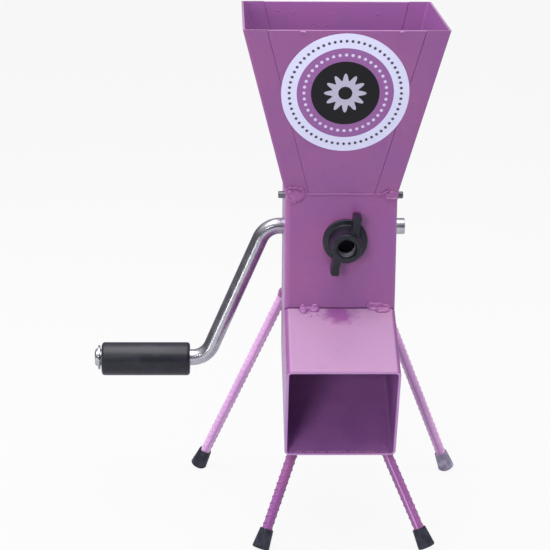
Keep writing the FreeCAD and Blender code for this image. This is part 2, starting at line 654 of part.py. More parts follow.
def make_jaw():
    """Plate that hangs on its knuckle and pin. The plate's own frame has its Z axis along the plate
    and its origin on the pin's axis."""
    body = new_body("jaw_blank")
    section = new_sketch(body, "jaw_section", "YZ_Plane")
    half = "(Sizes.jaw_thick / 2)"
    add_outline(section, [
        (f"-{half}", "-Sizes.jaw_length"), (half, "-Sizes.jaw_length"), (half, f"-{half} / 2"),
        (f"-{half}", f"-{half} / 2"),
    ])
    pad(body, section, f"2 * {JAW_HALF}", "jaw_block", midplane=True)
    top = new_sketch(body, "knuckle_line", "YZ_Plane")
    add_circle(top, "0", "0", "Sizes.knuckle_dia / 2")
    pocket_through(body, top, "knuckle_seat", midplane=True)

    tooth = new_sketch(body, "jaw_groove_line", "YZ_Plane")
    first = "(Sizes.jaw_length - Sizes.groove_pitch / 2)"
    wide = "(Sizes.groove_pitch * 0.4)"
    add_outline(tooth, [
        (f"{half} - Sizes.groove_depth", f"-{first}"), (f"{half} + 1", f"-{first} - {wide}"),
        (f"{half} + 1", f"-{first} + {wide}"),
    ])
    groove = pocket_through(body, tooth, "jaw_groove", midplane=True)
    grooves = body.newObject("PartDesign::LinearPattern", "jaw_grooves")
    grooves.Originals = [groove]
    grooves.Direction = (tooth, ["V_Axis"])
    grooves.setExpression("Length", "Sizes.groove_pitch * (Sizes.groove_count - 1)")
    grooves.setExpression("Occurrences", "Sizes.groove_count")
    body.Tip = grooves

    slot = new_sketch(body, "stud_slot_line", "XZ_Plane")
    wide = "(Sizes.stud_dia / 2 + Sizes.slot_play)"
    low = f"({DROP} / cos({CLOSED}) - {half} * tan({CLOSED}) + Sizes.stud_dia / 2 / cos({CLOSED}) + Sizes.slot_play)"
    add_outline(slot, [
        (f"Sizes.stud_side - {wide}", f"-{low}"), (f"Sizes.stud_side + {wide}", f"-{low}"),
        (f"Sizes.stud_side + {wide}", f"-({DROP} - {wide})"), (f"Sizes.stud_side - {wide}", f"-({DROP} - {wide})"),
    ])
    pocket_through(body, slot, "stud_slot", midplane=True)

    radius = "Sizes.ball_radius + Sizes.ball_play"
    ends = []
    for name, depth in (("seat_top", DROP), ("seat_foot", SEAT_END)):
        ball = bind(doc.addObject("Part::Sphere", name), Radius=radius)
        place(ball, size("stud_side"), size("ball_proud"), -value(depth))
        ends.append(ball)
    barrel = bind(doc.addObject("Part::Cylinder", "seat_barrel"), Radius=radius, Height=f"{SEAT_END} - {DROP}")
    place(barrel, size("stud_side"), size("ball_proud"), -value(SEAT_END))
    plate = cut(body, fuse(ends + [barrel], "ball_seat"), "seated_jaw")
    lean = FreeCAD.Rotation(FreeCAD.Vector(1, 0, 0), size("jaw_tilt"))
    place(plate, 0, HINGE_Y, HINGE_Z, lean)
    finished(plate, "jaw_plate")

    knuckle = ring("jaw_knuckle", "Sizes.knuckle_dia", "Sizes.hinge_pin_dia / 2 + Sizes.running_play",
                   f"2 * {JAW_HALF}")
    place(knuckle, -value(JAW_HALF), HINGE_Y, HINGE_Z, ALONG_X)

    pin = bind(doc.addObject("Part::Cylinder", "hinge_rod"), Radius="Sizes.hinge_pin_dia / 2",
               Height=f"2 * ({HALF} + Sizes.hinge_pin_out)")
    place(pin, -value(f"{HALF} + Sizes.hinge_pin_out"), HINGE_Y, HINGE_Z, ALONG_X)
    finished(pin, "jaw_hinge_pin")


# ---------------------------------------------------------------- stud, spring and wing nut

STUD_X = size("stud_side")
STUD_Z = size("body_lift") + size("stud_up")
FRONT_Y = -size("tube_side") / 2
LEAN = math.radians(size("jaw_tilt"))
STUD_DROP = size("hinge_up") - size("stud_up")
BALL_Y = HINGE_Y + (STUD_DROP * math.sin(LEAN) + size("ball_proud")) / math.cos(LEAN)


def make_stud():
    """Stud with a round head behind the jaw; its own Z axis runs to the front from the head's centre."""
    length = -(FRONT_Y - size("stud_reach") - BALL_Y) - size("stud_tip")
    rod = bind(doc.addObject("Part::Cylinder", "stud_rod"), Radius="Sizes.stud_dia / 2")
    rod.Height = length
    tip = bind(doc.addObject("Part::Cone", "stud_tip"), Radius1="Sizes.stud_dia / 2",
               Radius2="Sizes.stud_dia / 2 - Sizes.stud_tip", Height="Sizes.stud_tip")
    place(tip, 0, 0, length)
    ball = bind(doc.addObject("Part::Sphere", "stud_ball"), Radius="Sizes.ball_radius")
    block = doc.addObject("Part::Box", "ball_flat_side")
    bind(block, Length="4 * Sizes.ball_radius", Width="4 * Sizes.ball_radius", Height="Sizes.ball_radius")
    block.Placement.Base = FreeCAD.Vector(-2 * size("ball_radius"), -2 * size("ball_radius"),
                                          -size("ball_flat") - size("ball_radius"))
    head = cut(ball, block, "stud_head")
    stud = fuse([rod, tip, head], "whole_stud")
    place(stud, STUD_X, BALL_Y, STUD_Z, TO_FRONT)
    finished(stud, "adjusting_stud")


def make_spring():
    """Coil round the stud between the front wall and the jaw, its own Z axis running to the back."""
    body = new_body("adjusting_spring")
    middle = (size("spring_inside") + size("spring_wire")) / 2
    # The jaw's front face comes nearest to the wall at the coil's top.
    high = STUD_DROP - middle - size("spring_wire") / 2
    jaw_y = HINGE_Y + (high * math.sin(LEAN) - size("jaw_thick") / 2) / math.cos(LEAN)
    start = FRONT_Y + size("tube_wall") + size("spring_gap")
    room = jaw_y - size("spring_gap") - start
    wire = new_sketch(body, "spring_section", "XZ_Plane")
    add_circle(wire, "(Sizes.spring_inside + Sizes.spring_wire) / 2", "Sizes.spring_wire / 2",
               "Sizes.spring_wire / 2")
    coil = body.newObject("PartDesign::AdditiveHelix", "spring_coil")
    coil.Profile = wire
    coil.ReferenceAxis = (wire, ["V_Axis"])
    coil.Mode = "height-turns-angle"
    coil.Height = room - size("spring_wire")
    coil.setExpression("Turns", "Sizes.spring_turns")
    body.Tip = coil
    place(body, STUD_X, start, STUD_Z, FreeCAD.Rotation(FreeCAD.Vector(1, 0, 0), -90))
    finished(body, "adjusting_spring")


def make_wing_nut():
    """Plastic wing nut on the front wall; its own Z axis runs to the front from the flange's foot."""
    body = new_body("wing_nut")
    wings = new_sketch(body, "wing_outline", "XY_Plane", "Sizes.wing_low")
    root, tip = "(Sizes.wing_root / 2)", "(Sizes.wing_tip / 2)"
    add_outline(wings, [
        ("-Sizes.wing_reach", f"-{tip}"), ("0", f"-{root}"), ("Sizes.wing_reach", f"-{tip}"),
        ("Sizes.wing_reach", tip), ("0", root), ("-Sizes.wing_reach", tip),
    ])
    blades = pad(body, wings, "Sizes.wing_high - Sizes.wing_low", "wing_blades")
    round_edges(body, blades, "wing_tips", "Sizes.wing_tip * 0.4",
                lambda edge: is_upright(edge) and abs(edge.Vertexes[0].X) > size("wing_reach") - 1e-6)

    hub = new_sketch(body, "hub_profile", "XZ_Plane")
    collar, rim = "(Sizes.collar_dia / 2)", "(Sizes.rim_dia / 2)"
    add_outline(hub, [
        ("0", "0"), ("Sizes.flange_dia / 2", "0"), ("Sizes.flange_dia / 2", "Sizes.flange_thick"),
        (collar, "Sizes.flange_thick"), (f"{collar} - 0.6", "Sizes.wing_low"),
        (f"({collar} + {rim}) / 2", "Sizes.nut_height * 0.55"),
        (rim, "Sizes.wing_high + 1"), (rim, "Sizes.nut_height"), ("0", "Sizes.nut_height"),
    ])
    revolve(body, hub, "hub")

    seat = new_sketch(body, "insert_seat_line", "XY_Plane")
    add_circle(seat, "0", "0", "Sizes.insert_dia / 2")
    hole = body.newObject("PartDesign::Pocket", "insert_seat")
    hole.Profile = seat
    hole.Reversed = True
    hole.setExpression("Length", "Sizes.nut_height - Sizes.lip_thick")
    mouth = new_sketch(body, "lip_line", "XY_Plane")
    add_circle(mouth, "0", "0", "Sizes.lip_dia / 2")
    pocket_through(body, mouth, "lip_hole", midplane=True)

    turn = FreeCAD.Rotation(FreeCAD.Vector(0, 0, 1), 90 - size("wing_angle"))
    foot = FRONT_Y - size("nut_gap")
    place(body, STUD_X, foot, STUD_Z, TO_FRONT * turn)
    finished(body, "wing_nut")

    insert = new_body("wing_nut_insert")
    section = new_sketch(insert, "insert_section", "XY_Plane")
    add_circle(section, "0", "0", "Sizes.insert_dia / 2")
    add_circle(section, "0", "0", "Sizes.stud_dia / 2 + Sizes.insert_play")
    pad(insert, section, "Sizes.nut_height - Sizes.lip_thick", "insert_tube")
    thread = new_sketch(insert, "thread_line", "XZ_Plane")
    inner = "(Sizes.stud_dia / 2 + Sizes.insert_play)"
    pitch = "Sizes.thread_pitch"
    add_outline(thread, [
        (f"{inner} - 0.5", f"{pitch} * 0.1"), (f"{inner} + Sizes.thread_depth", f"{pitch} * 0.45"),
        (f"{inner} + Sizes.thread_depth", f"{pitch} * 0.55"), (f"{inner} - 0.5", f"{pitch} * 0.9"),
    ])
    groove = insert.newObject("PartDesign::Groove", "thread_groove")
    groove.Profile = thread
    groove.ReferenceAxis = (thread, ["V_Axis"])
    groove.Angle = 360
    grooves = insert.newObject("PartDesign::LinearPattern", "thread_grooves")
    grooves.Originals = [groove]
    grooves.Direction = (thread, ["V_Axis"])
    grooves.setExpression("Length", f"{pitch} * 11")
    grooves.Occurrences = 12
    insert.Tip = grooves
    place(insert, STUD_X, foot, STUD_Z, TO_FRONT)
    finished(insert, "wing_nut_insert")


# ---------------------------------------------------------------- legs, caps and welds

LEG_RADIUS = "(Sizes.leg_core / 2 + Sizes.leg_rib)"


def make_blocks():
    """Solid blocks of the body's, the chute's and the hopper's outsides, that legs and welds stop at."""
    low = size("body_lift") - value(MITRE)
    upright = doc.addObject("Part::Box", "body_block")
    bind(upright, Length="Sizes.tube_side", Width="Sizes.tube_side", Height=f"Sizes.body_rise + {MITRE}")
    place(upright, -size("tube_side") / 2, -size("tube_side") / 2, low)
    sloping = doc.addObject("Part::Box", "chute_block")
    bind(sloping, Length="Sizes.tube_side", Width="Sizes.tube_side", Height="Sizes.roof_run + 20")
    turn = FreeCAD.Rotation(FreeCAD.Vector(1, 0, 0), 90 + size("chute_tilt"))
    offset = turn.multVec(FreeCAD.Vector(-size("tube_side") / 2, -size("tube_side"), -20))
    place(sloping, offset.x, offset.y - size("tube_side") / 2, offset.z + size("body_lift"), turn)
    return fuse([upright, sloping, doc.getObject("hopper_outside")], "tube_blocks")


def floor_height(ahead):
    """Height of the chute's underside at a distance ahead of the tube's axis."""
    fall = (ahead + size("tube_side") / 2) * math.tan(math.radians(size("chute_tilt")))
    return size("body_lift") - value(MITRE) - fall


def make_leg(name, top, foot, blocks, ground):
    """A ribbed bar from the tube to its cap, and the cap; returns a plain bar for the weld to stop at."""
    slope = top - foot
    tilt = slope.getAngle(FreeCAD.Vector(0, 0, 1))
    base = foot + FreeCAD.Vector(0, 0, size("cap_foot_dia") / 2 * math.sin(tilt) - size("cap_bite"))
    axis = top - base
    turn = FreeCAD.Rotation(FreeCAD.Vector(0, 0, 1), axis)
    past = size("leg_past_top") if name.startswith("front") else 0
    length = axis.Length + past - size("cap_floor")
    start = base + axis.normalize() * size("cap_floor")

    body = new_body(name + "_leg")
    section = new_sketch(body, name + "_leg_section", "XY_Plane")
    add_circle(section, "0", "0", "Sizes.leg_core / 2")
    pad(body, section, length, name + "_leg_bar")
    rib = new_sketch(body, name + "_rib_line", "XZ_Plane")
    core = "(Sizes.leg_core / 2)"
    add_outline(rib, [
        (f"{core} - Sizes.leg_rib", "Sizes.rib_start"),
        (f"{core} - Sizes.leg_rib", "Sizes.rib_start + Sizes.rib_width"),
        (f"{core}", "Sizes.rib_start + Sizes.rib_width"),
        (LEG_RADIUS, "Sizes.rib_start + Sizes.rib_width * 0.7"),
        (LEG_RADIUS, "Sizes.rib_start + Sizes.rib_width * 0.3"),
        (f"{core}", "Sizes.rib_start"),
    ])
    band = revolve(body, rib, name + "_rib")
    count = int((length - 2 * size("rib_start")) / size("rib_pitch"))
    bands = body.newObject("PartDesign::LinearPattern", name + "_ribs")
    bands.Originals = [band]
    bands.Direction = (rib, ["V_Axis"])
    bands.setExpression("Length", f"Sizes.rib_pitch * {count - 1}")
    bands.Occurrences = count
    body.Tip = bands
    place(body, start.x, start.y, start.z, turn)
    finished(cut(body, blocks, name + "_leg_cut"), name + "_leg")

    cap = new_body(name + "_cap")
    profile = new_sketch(cap, name + "_cap_profile", "XZ_Plane")
    bore = f"{LEG_RADIUS} + Sizes.cap_play"
    add_outline(profile, [
        ("0", "0"), ("Sizes.cap_foot_dia / 2", "0"), ("Sizes.cap_top_dia / 2", "Sizes.cap_length"),
        (bore, "Sizes.cap_length"), (bore, "Sizes.cap_floor"), ("0", "Sizes.cap_floor"),
    ])
    blank = revolve(cap, profile, name + "_cap_blank")
    round_edges(cap, blank, name + "_cap_edge", "1", lambda edge: is_rim(edge, size("cap_foot_dia") / 2))
    place(cap, base.x, base.y, base.z, turn)
    finished(cut(cap, ground, name + "_cap_cut"), name + "_foot")

    plain = bind(doc.addObject("Part::Cylinder", name + "_plain_bar"), Radius=f"{LEG_RADIUS} + Sizes.weld_fit")
    plain.Height = length + size("leg_weld")
    place(plain, start.x, start.y, start.z, turn)
    return plain


def make_legs_and_welds():
    blocks = make_blocks()
    ground = doc.addObject("Part::Box", "ground_block")
    ground.Length = 2 * FAR
    ground.Width = 2 * FAR
    ground.Height = FAR
    place(ground, -FAR, -FAR, -FAR)

    lift = size("body_lift")
    front_y = -size("front_leg_ahead")
    front_z = floor_height(size("front_leg_ahead"))
    rear_y = size("tube_side") / 2 + value(LEG_RADIUS) + 0.2
    tops = {
        "front_left": FreeCAD.Vector(-size("front_leg_side"), front_y, front_z),
        "front_right": FreeCAD.Vector(size("front_leg_side"), front_y, front_z),
        "rear_left": FreeCAD.Vector(-size("rear_leg_side"), rear_y, lift - size("rear_left_drop")),
        "rear_right": FreeCAD.Vector(size("rear_leg_side"), rear_y, lift - size("rear_right_drop")),
    }
    feet = {
        "front_left": FreeCAD.Vector(-size("front_left_spread"), -size("front_left_ahead"), 0),
        "front_right": FreeCAD.Vector(size("front_right_spread"), -size("front_right_ahead"), 0),
        "rear_left": FreeCAD.Vector(-size("rear_left_spread"), size("rear_left_behind"), 0),
        "rear_right": FreeCAD.Vector(size("rear_right_spread"), size("rear_right_behind"), 0),
    }
    bars = [make_leg(name, tops[name], feet[name], blocks, ground) for name in tops]

    welds = []
    for (name, top), bar in zip(tops.items(), bars):
        lump = bind(doc.addObject("Part::Sphere", name + "_leg_lump"), Radius="Sizes.leg_weld")
        fall = size("leg_weld") * 0.7 if name.startswith("rear") else 0
        place(lump, top.x, top.y - 1, top.z - fall)
        welds.append(cut(lump, fuse([blocks, bar], name + "_stops"), name + "_leg_weld"))
    finished(group(welds, "leg_lumps"), "leg_welds")
    make_corner_welds(blocks)


def make_corner_welds(blocks):
    """Four short beads on the front, each a round-ended bar let into the tube's face."""
    beads = []
    for name in ("upper_left", "upper_right", "lower_left", "lower_right"):
        x = size(name + "_side")
        half = size(name + "_half")
        radius = size(name + "_radius")
        height = size("body_lift") + size(name + "_up")
        y = FRONT_Y + radius - size("weld_lump")
        pieces = []
        for end, start in (("left", x - half), ("right", x + half)):
            ball = doc.addObject("Part::Sphere", f"{name}_{end}_end")
            ball.Radius = radius
            pieces.append(place(ball, start, y, height))
        bar = doc.addObject("Part::Cylinder", name + "_middle")
        bar.Radius = radius
        bar.Height = 2 * half
        pieces.append(place(bar, x - half, y, height, ALONG_X))
        beads.append(cut(fuse(pieces, name + "_bead"), blocks, name + "_weld"))
    finished(group(beads, "corner_beads"), "corner_welds")


# ---------------------------------------------------------------- the whole nut cracker

def is_sound(item):
    """Whether an object recomputed without an error."""
    return "Invalid" not in item.State and "Error" not in item.State


def main():
    make_body_tube()
    make_chute_tube()
    make_hopper()
    make_label()
    make_crank_bar()
    make_drum()
    make_grip()
    make_bearings()
    make_jaw()
    make_stud()
    make_spring()
    make_wing_nut()
    make_legs_and_welds()
    doc.recompute()

    box = FreeCAD.BoundBox()
    for part in parts:
        box.add(part.Shape.optimalBoundingBox(False))
    shift = FreeCAD.Placement(FreeCAD.Vector(-box.Center.x, -box.Center.y, 0), FreeCAD.Rotation())
    for part in parts:
        part.Placement = shift * part.Placement
    doc.recompute()

    for item in doc.Objects:
        if not is_sound(item):
            raise RuntimeError(f"{item.Name} has not recomputed: {item.State}")
    for part in parts:
        if part.Shape.isNull() or not part.Shape.isValid() or not part.Shape.Solids:
            raise RuntimeError(f"{part.Label} has no sound shape")

    os.makedirs("parts", exist_ok=True)
    for part in parts:
        part.Shape.exportStep(os.path.join("parts", part.Label + ".step"))
    print(f"{len(parts)} parts, box {box.XLength:.2f} x {box.YLength:.2f} x {box.ZMax:.2f} mm")
    print(f"origin moved by {-box.Center.x:.4f}, {-box.Center.y:.4f} mm")


main()
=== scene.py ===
import math

import bmesh
import bpy
from mathutils import Matrix, Vector, noise


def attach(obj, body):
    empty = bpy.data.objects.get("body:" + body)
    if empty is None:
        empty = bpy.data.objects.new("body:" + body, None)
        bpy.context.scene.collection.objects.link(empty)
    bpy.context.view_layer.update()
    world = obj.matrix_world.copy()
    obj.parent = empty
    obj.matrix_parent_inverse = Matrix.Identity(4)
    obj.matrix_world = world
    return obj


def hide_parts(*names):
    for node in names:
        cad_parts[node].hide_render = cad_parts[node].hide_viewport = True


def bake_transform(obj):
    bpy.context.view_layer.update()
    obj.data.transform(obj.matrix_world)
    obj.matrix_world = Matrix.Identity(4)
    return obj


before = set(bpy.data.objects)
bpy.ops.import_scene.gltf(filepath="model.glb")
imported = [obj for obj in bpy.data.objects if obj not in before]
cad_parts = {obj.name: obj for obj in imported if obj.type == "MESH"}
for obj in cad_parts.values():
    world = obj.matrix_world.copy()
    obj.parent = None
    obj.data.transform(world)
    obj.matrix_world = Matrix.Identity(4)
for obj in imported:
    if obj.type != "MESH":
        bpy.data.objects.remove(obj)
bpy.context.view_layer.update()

# A hand-cranked nut cracker: enamelled square tube, folded hopper, bright crank bar, moulded nut.
# Lengths are in millimetres until a piece is finished, and are measured from the tube's axis and
# the lower front edge of the upright body: x to the right, y to the back, z up.

MM = 0.001
ORIGIN = Vector((40.6066, 11.2065, 168.0))      # that point in the part's own frame
TO_FRAME = Matrix.Scale(MM, 4) @ Matrix.Translation(ORIGIN)
GROUND = -ORIGIN.z

TUBE_HALF = 40.0                                # half the square tube's side
CHUTE_TILT = math.radians(23)                   # the chute's fall from level
MITRE_TILT = math.pi / 4 - CHUTE_TILT / 2       # the mitred ends' plane from level
MITRE = Vector((0, 0, -TUBE_HALF * math.tan(MITRE_TILT)))       # where both tubes' axes meet
DOWN_CHUTE = Vector((0, -math.cos(CHUTE_TILT), -math.sin(CHUTE_TILT)))
OUT_OF_ROOF = Vector((0, -math.sin(CHUTE_TILT), math.cos(CHUTE_TILT)))  # square to the chute's roof, upwards
BODY_TOP, RIM = 84.0, 205.6                     # heights of the hopper's foot and rim
RIM_HALF = 70.75                                # half the hopper's rim, front to back
PLATE_SLOPE = math.atan2(RIM_HALF - TUBE_HALF, RIM - BODY_TOP)  # the hopper's front plate from upright
NUT = Vector((2.9, -40.2, 50))                  # the wing nut's foot, on its axis


# ---------------------------------------------------------------- materials

def linear(code):
    """An sRGB hex colour as linear red, green, blue and alpha."""
    values = []
    for start in (0, 2, 4):
        part = int(code[start:start + 2], 16) / 255
        values.append(part / 12.92 if part <= 0.04045 else ((part + 0.055) / 1.055) ** 2.4)
    return values + [1.0]


def new_material(name):
    """A material whose node tree is empty."""
    material = bpy.data.materials.new(name)
    material.use_nodes = True
    material.node_tree.nodes.clear()
    return material


def add(material, kind, settings=None, links=None):
    """Adds a shader node with its settings (property or socket) and links (socket to source)."""
    item = material.node_tree.nodes.new("ShaderNode" + kind)
    for name, setting in (settings or {}).items():
        if isinstance(name, str) and hasattr(item, name):
            setattr(item, name, setting)
        else:
            item.inputs[name].default_value = setting
    for name, source in (links or {}).items():
        material.node_tree.links.new(source, item.inputs[name])
    return item


def ramp_stops(ramp, stops, kind="LINEAR"):
    """Sets a colour ramp's stops from (position, colour) pairs."""
    ramp.color_ramp.interpolation = kind
    elements = ramp.color_ramp.elements
    while len(elements) > 1:
        elements.remove(elements[-1])
    elements[0].position, elements[0].color = stops[0]
    for position, colour in stops[1:]:
        elements.new(position).color = colour


def colour_mix(material, share, base, ink):
    """A colour output that goes from the base's output to a plain ink by a share."""
    mixed = add(material, "Mix", {"data_type": "RGBA"}, {"Factor": share, 6: base})
    mixed.inputs[7].default_value = ink
    return mixed.outputs[2]


def put_out(material, shader):
    """Makes a shader the material's surface."""
    add(material, "OutputMaterial", links={"Surface": shader.outputs[0]})
    return material


def size_noise(material, wave, detail=2.0):
    """Noise on object coordinates whose blotches are about as wide as wave, in millimetres."""
    place = add(material, "TexCoord")
    return add(material, "TexNoise", {"Scale": 1 / (wave * MM), "Detail": detail},
               {"Vector": place.outputs["Object"]})


def spread(material, noise_node, low, high):
    """Noise stretched to run from low to high."""
    return add(material, "MapRange", {"To Min": low, "To Max": high}, {"Value": noise_node.outputs["Fac"]})


PAINTED_SHEEN_TINT = "FFEAF2"                            # painted sheen: a pale tint that stands for overhead light on faces that look up
NUT_SHADOW_SPOT = Vector((-0.5, -46.5, -2.8))        # painted shadow of the wing nut, on the chute's roof under the nut
NUT_SHADOW_RING = (6 * MM, 13.5 * MM)                # the painted shadow's full part and its outer edge, as radii
NUT_SHADOW_SMEAR = 7 * MM                            # how far that edge wanders


def painted_sheen(material, strongest):
    """How much painted sheen lies on the paint, standing for overhead light on faces that look up, apart from
    a painted shadow of the wing nut on the chute's roof.
    """
    facing = add(material, "NewGeometry")
    upward = add(material, "SeparateXYZ", links={"Vector": facing.outputs["True Normal"]})
    upward_sheen = add(material, "MapRange", {"From Min": 0.8, "From Max": 0.915, "To Max": strongest},
                {"Value": upward.outputs["Z"]})
    # Painted shadow: the sheen fades out round a spot under the wing nut, standing for the nut's shade on the
    # roof.
    place = add(material, "TexCoord")
    away = add(material, "VectorMath", {"operation": "DISTANCE", 1: TO_FRAME @ NUT_SHADOW_SPOT},
               {0: place.outputs["Object"]})
    ragged = spread(material, size_noise(material, 6, 3.0), -NUT_SHADOW_SMEAR, NUT_SHADOW_SMEAR)
    ring = add(material, "Math", {"operation": "ADD"},
               {0: away.outputs["Value"], 1: ragged.outputs["Result"]})
    shadow_core, edge = NUT_SHADOW_RING
    outside_shadow = add(material, "MapRange", {"From Min": shadow_core, "From Max": edge},
                    {"Value": ring.outputs["Value"]})
    return add(material, "Math", {"operation": "MULTIPLY"},
               {0: upward_sheen.outputs["Result"], 1: outside_shadow.outputs["Result"]})


def enamel(name, main, thin, rough=0.5, peel=0.10, coat=0.85, top_sheen=0.19, gloss=0.26):
    """Sprayed enamel on mild steel: orange peel, dust specks, cloudy depth of colour and a painted sheen on
    faces that look up.
    """
    material = new_material(name)
    cloud = size_noise(material, 38, 3.0)
    clouds = add(material, "ValToRGB", links={"Fac": cloud.outputs["Fac"]})
    ramp_stops(clouds, [(0.36, linear(thin)), (0.64, linear(main))])
    # Dust under the paint: pimples about a millimetre across, a few centimetres apart.
    speck = size_noise(material, 3.2, 0.0)
    specks = add(material, "MapRange", {"From Min": 0.74, "From Max": 0.80}, {"Value": speck.outputs["Fac"]})
    fine = size_noise(material, 1.5)
    skin = add(material, "Bump", {"Strength": peel, "Distance": 0.3 * MM}, {"Height": fine.outputs["Fac"]})
    dust = add(material, "Bump", {"Strength": 0.55, "Distance": 0.5 * MM},
               {"Height": specks.outputs["Result"], "Normal": skin.outputs["Normal"]})
    wave = size_noise(material, 22, 1.0)
    dent = add(material, "Bump", {"Strength": 0.16, "Distance": 1.2 * MM},
               {"Height": wave.outputs["Fac"], "Normal": dust.outputs["Normal"]})
    shine = spread(material, cloud, rough - 0.06, rough + 0.10)
    # Painted sheen: faces that look up take a pale tint that stands for overhead light on them.
    sheen_amount = painted_sheen(material, top_sheen)
    paint = colour_mix(material, sheen_amount.outputs["Value"], clouds.outputs["Color"], linear(PAINTED_SHEEN_TINT))
    shader = add(material, "BsdfPrincipled",
                 {"IOR": 1.5, "Specular IOR Level": 0.25, "Coat Weight": coat, "Coat Roughness": gloss},
                 {"Base Color": paint, "Roughness": shine.outputs["Result"],
                  "Normal": dent.outputs["Normal"]})
    return put_out(material, shader)


def drawn_steel(name, colour, dull, rough, streak=0.05, axis=0, metal=1.0):
    """Drawn or turned metal with fine streaks along one axis of the part (0 for x, 1 for y)."""
    material = new_material(name)
    place = add(material, "TexCoord")
    stretch = [1.0, 1.0, 1.0]
    stretch[axis] = 0.03
    drawn = add(material, "Mapping", {"Scale": stretch}, {"Vector": place.outputs["Object"]})
    lines = add(material, "TexNoise", {"Scale": 1 / (0.5 * MM), "Detail": 3.0},
                {"Vector": drawn.outputs["Vector"]})
    blotch = size_noise(material, 9, 3.0)
    tint = add(material, "ValToRGB", links={"Fac": blotch.outputs["Fac"]})
    ramp_stops(tint, [(0.35, linear(dull)), (0.6, linear(colour))])
    bump = add(material, "Bump", {"Strength": streak, "Distance": 0.2 * MM}, {"Height": lines.outputs["Fac"]})
    shine = spread(material, blotch, rough, rough + 0.12)
    shader = add(material, "BsdfPrincipled", {"Metallic": metal},
                 {"Base Color": tint.outputs["Color"], "Roughness": shine.outputs["Result"],
                  "Normal": bump.outputs["Normal"]})
    return put_out(material, shader)


def moulded_plastic(name, colour, dusty, rough, grain=0.12, ior=1.49):
    """Injection-moulded plastic: fine leathery skin, with a little dust in random blotches."""
    material = new_material(name)
    blotch = size_noise(material, 6, 3.0)
    tint = add(material, "ValToRGB", links={"Fac": blotch.outputs["Fac"]})
    ramp_stops(tint, [(0.42, linear(colour)), (0.72, linear(dusty))])
    skin = size_noise(material, 0.7)
    bump = add(material, "Bump", {"Strength": grain, "Distance": 0.2 * MM}, {"Height": skin.outputs["Fac"]})
    shine = spread(material, blotch, rough - 0.08, rough + 0.12)
    shader = add(material, "BsdfPrincipled", {"IOR": ior},
                 {"Base Color": tint.outputs["Color"], "Roughness": shine.outputs["Result"],
                  "Normal": bump.outputs["Normal"]})
    return put_out(material, shader)


LABEL_DROP = 46.6                               # hopper's rim to the sticker's middle
LABEL_RADIUS = 44.3
LABEL_FILM = 0.3
LABEL_MIDDLE = Vector((0, LABEL_DROP * math.sin(PLATE_SLOPE) - RIM_HALF,
                       RIM - LABEL_DROP * math.cos(PLATE_SLOPE)))
# Rows of printed beads: place and half width as shares of the sticker's radius, count, colour.
BEAD_ROWS = ((0.875, 0.035, 60, "4A4456"), (0.645, 0.035, 40, "D9CBE8"))


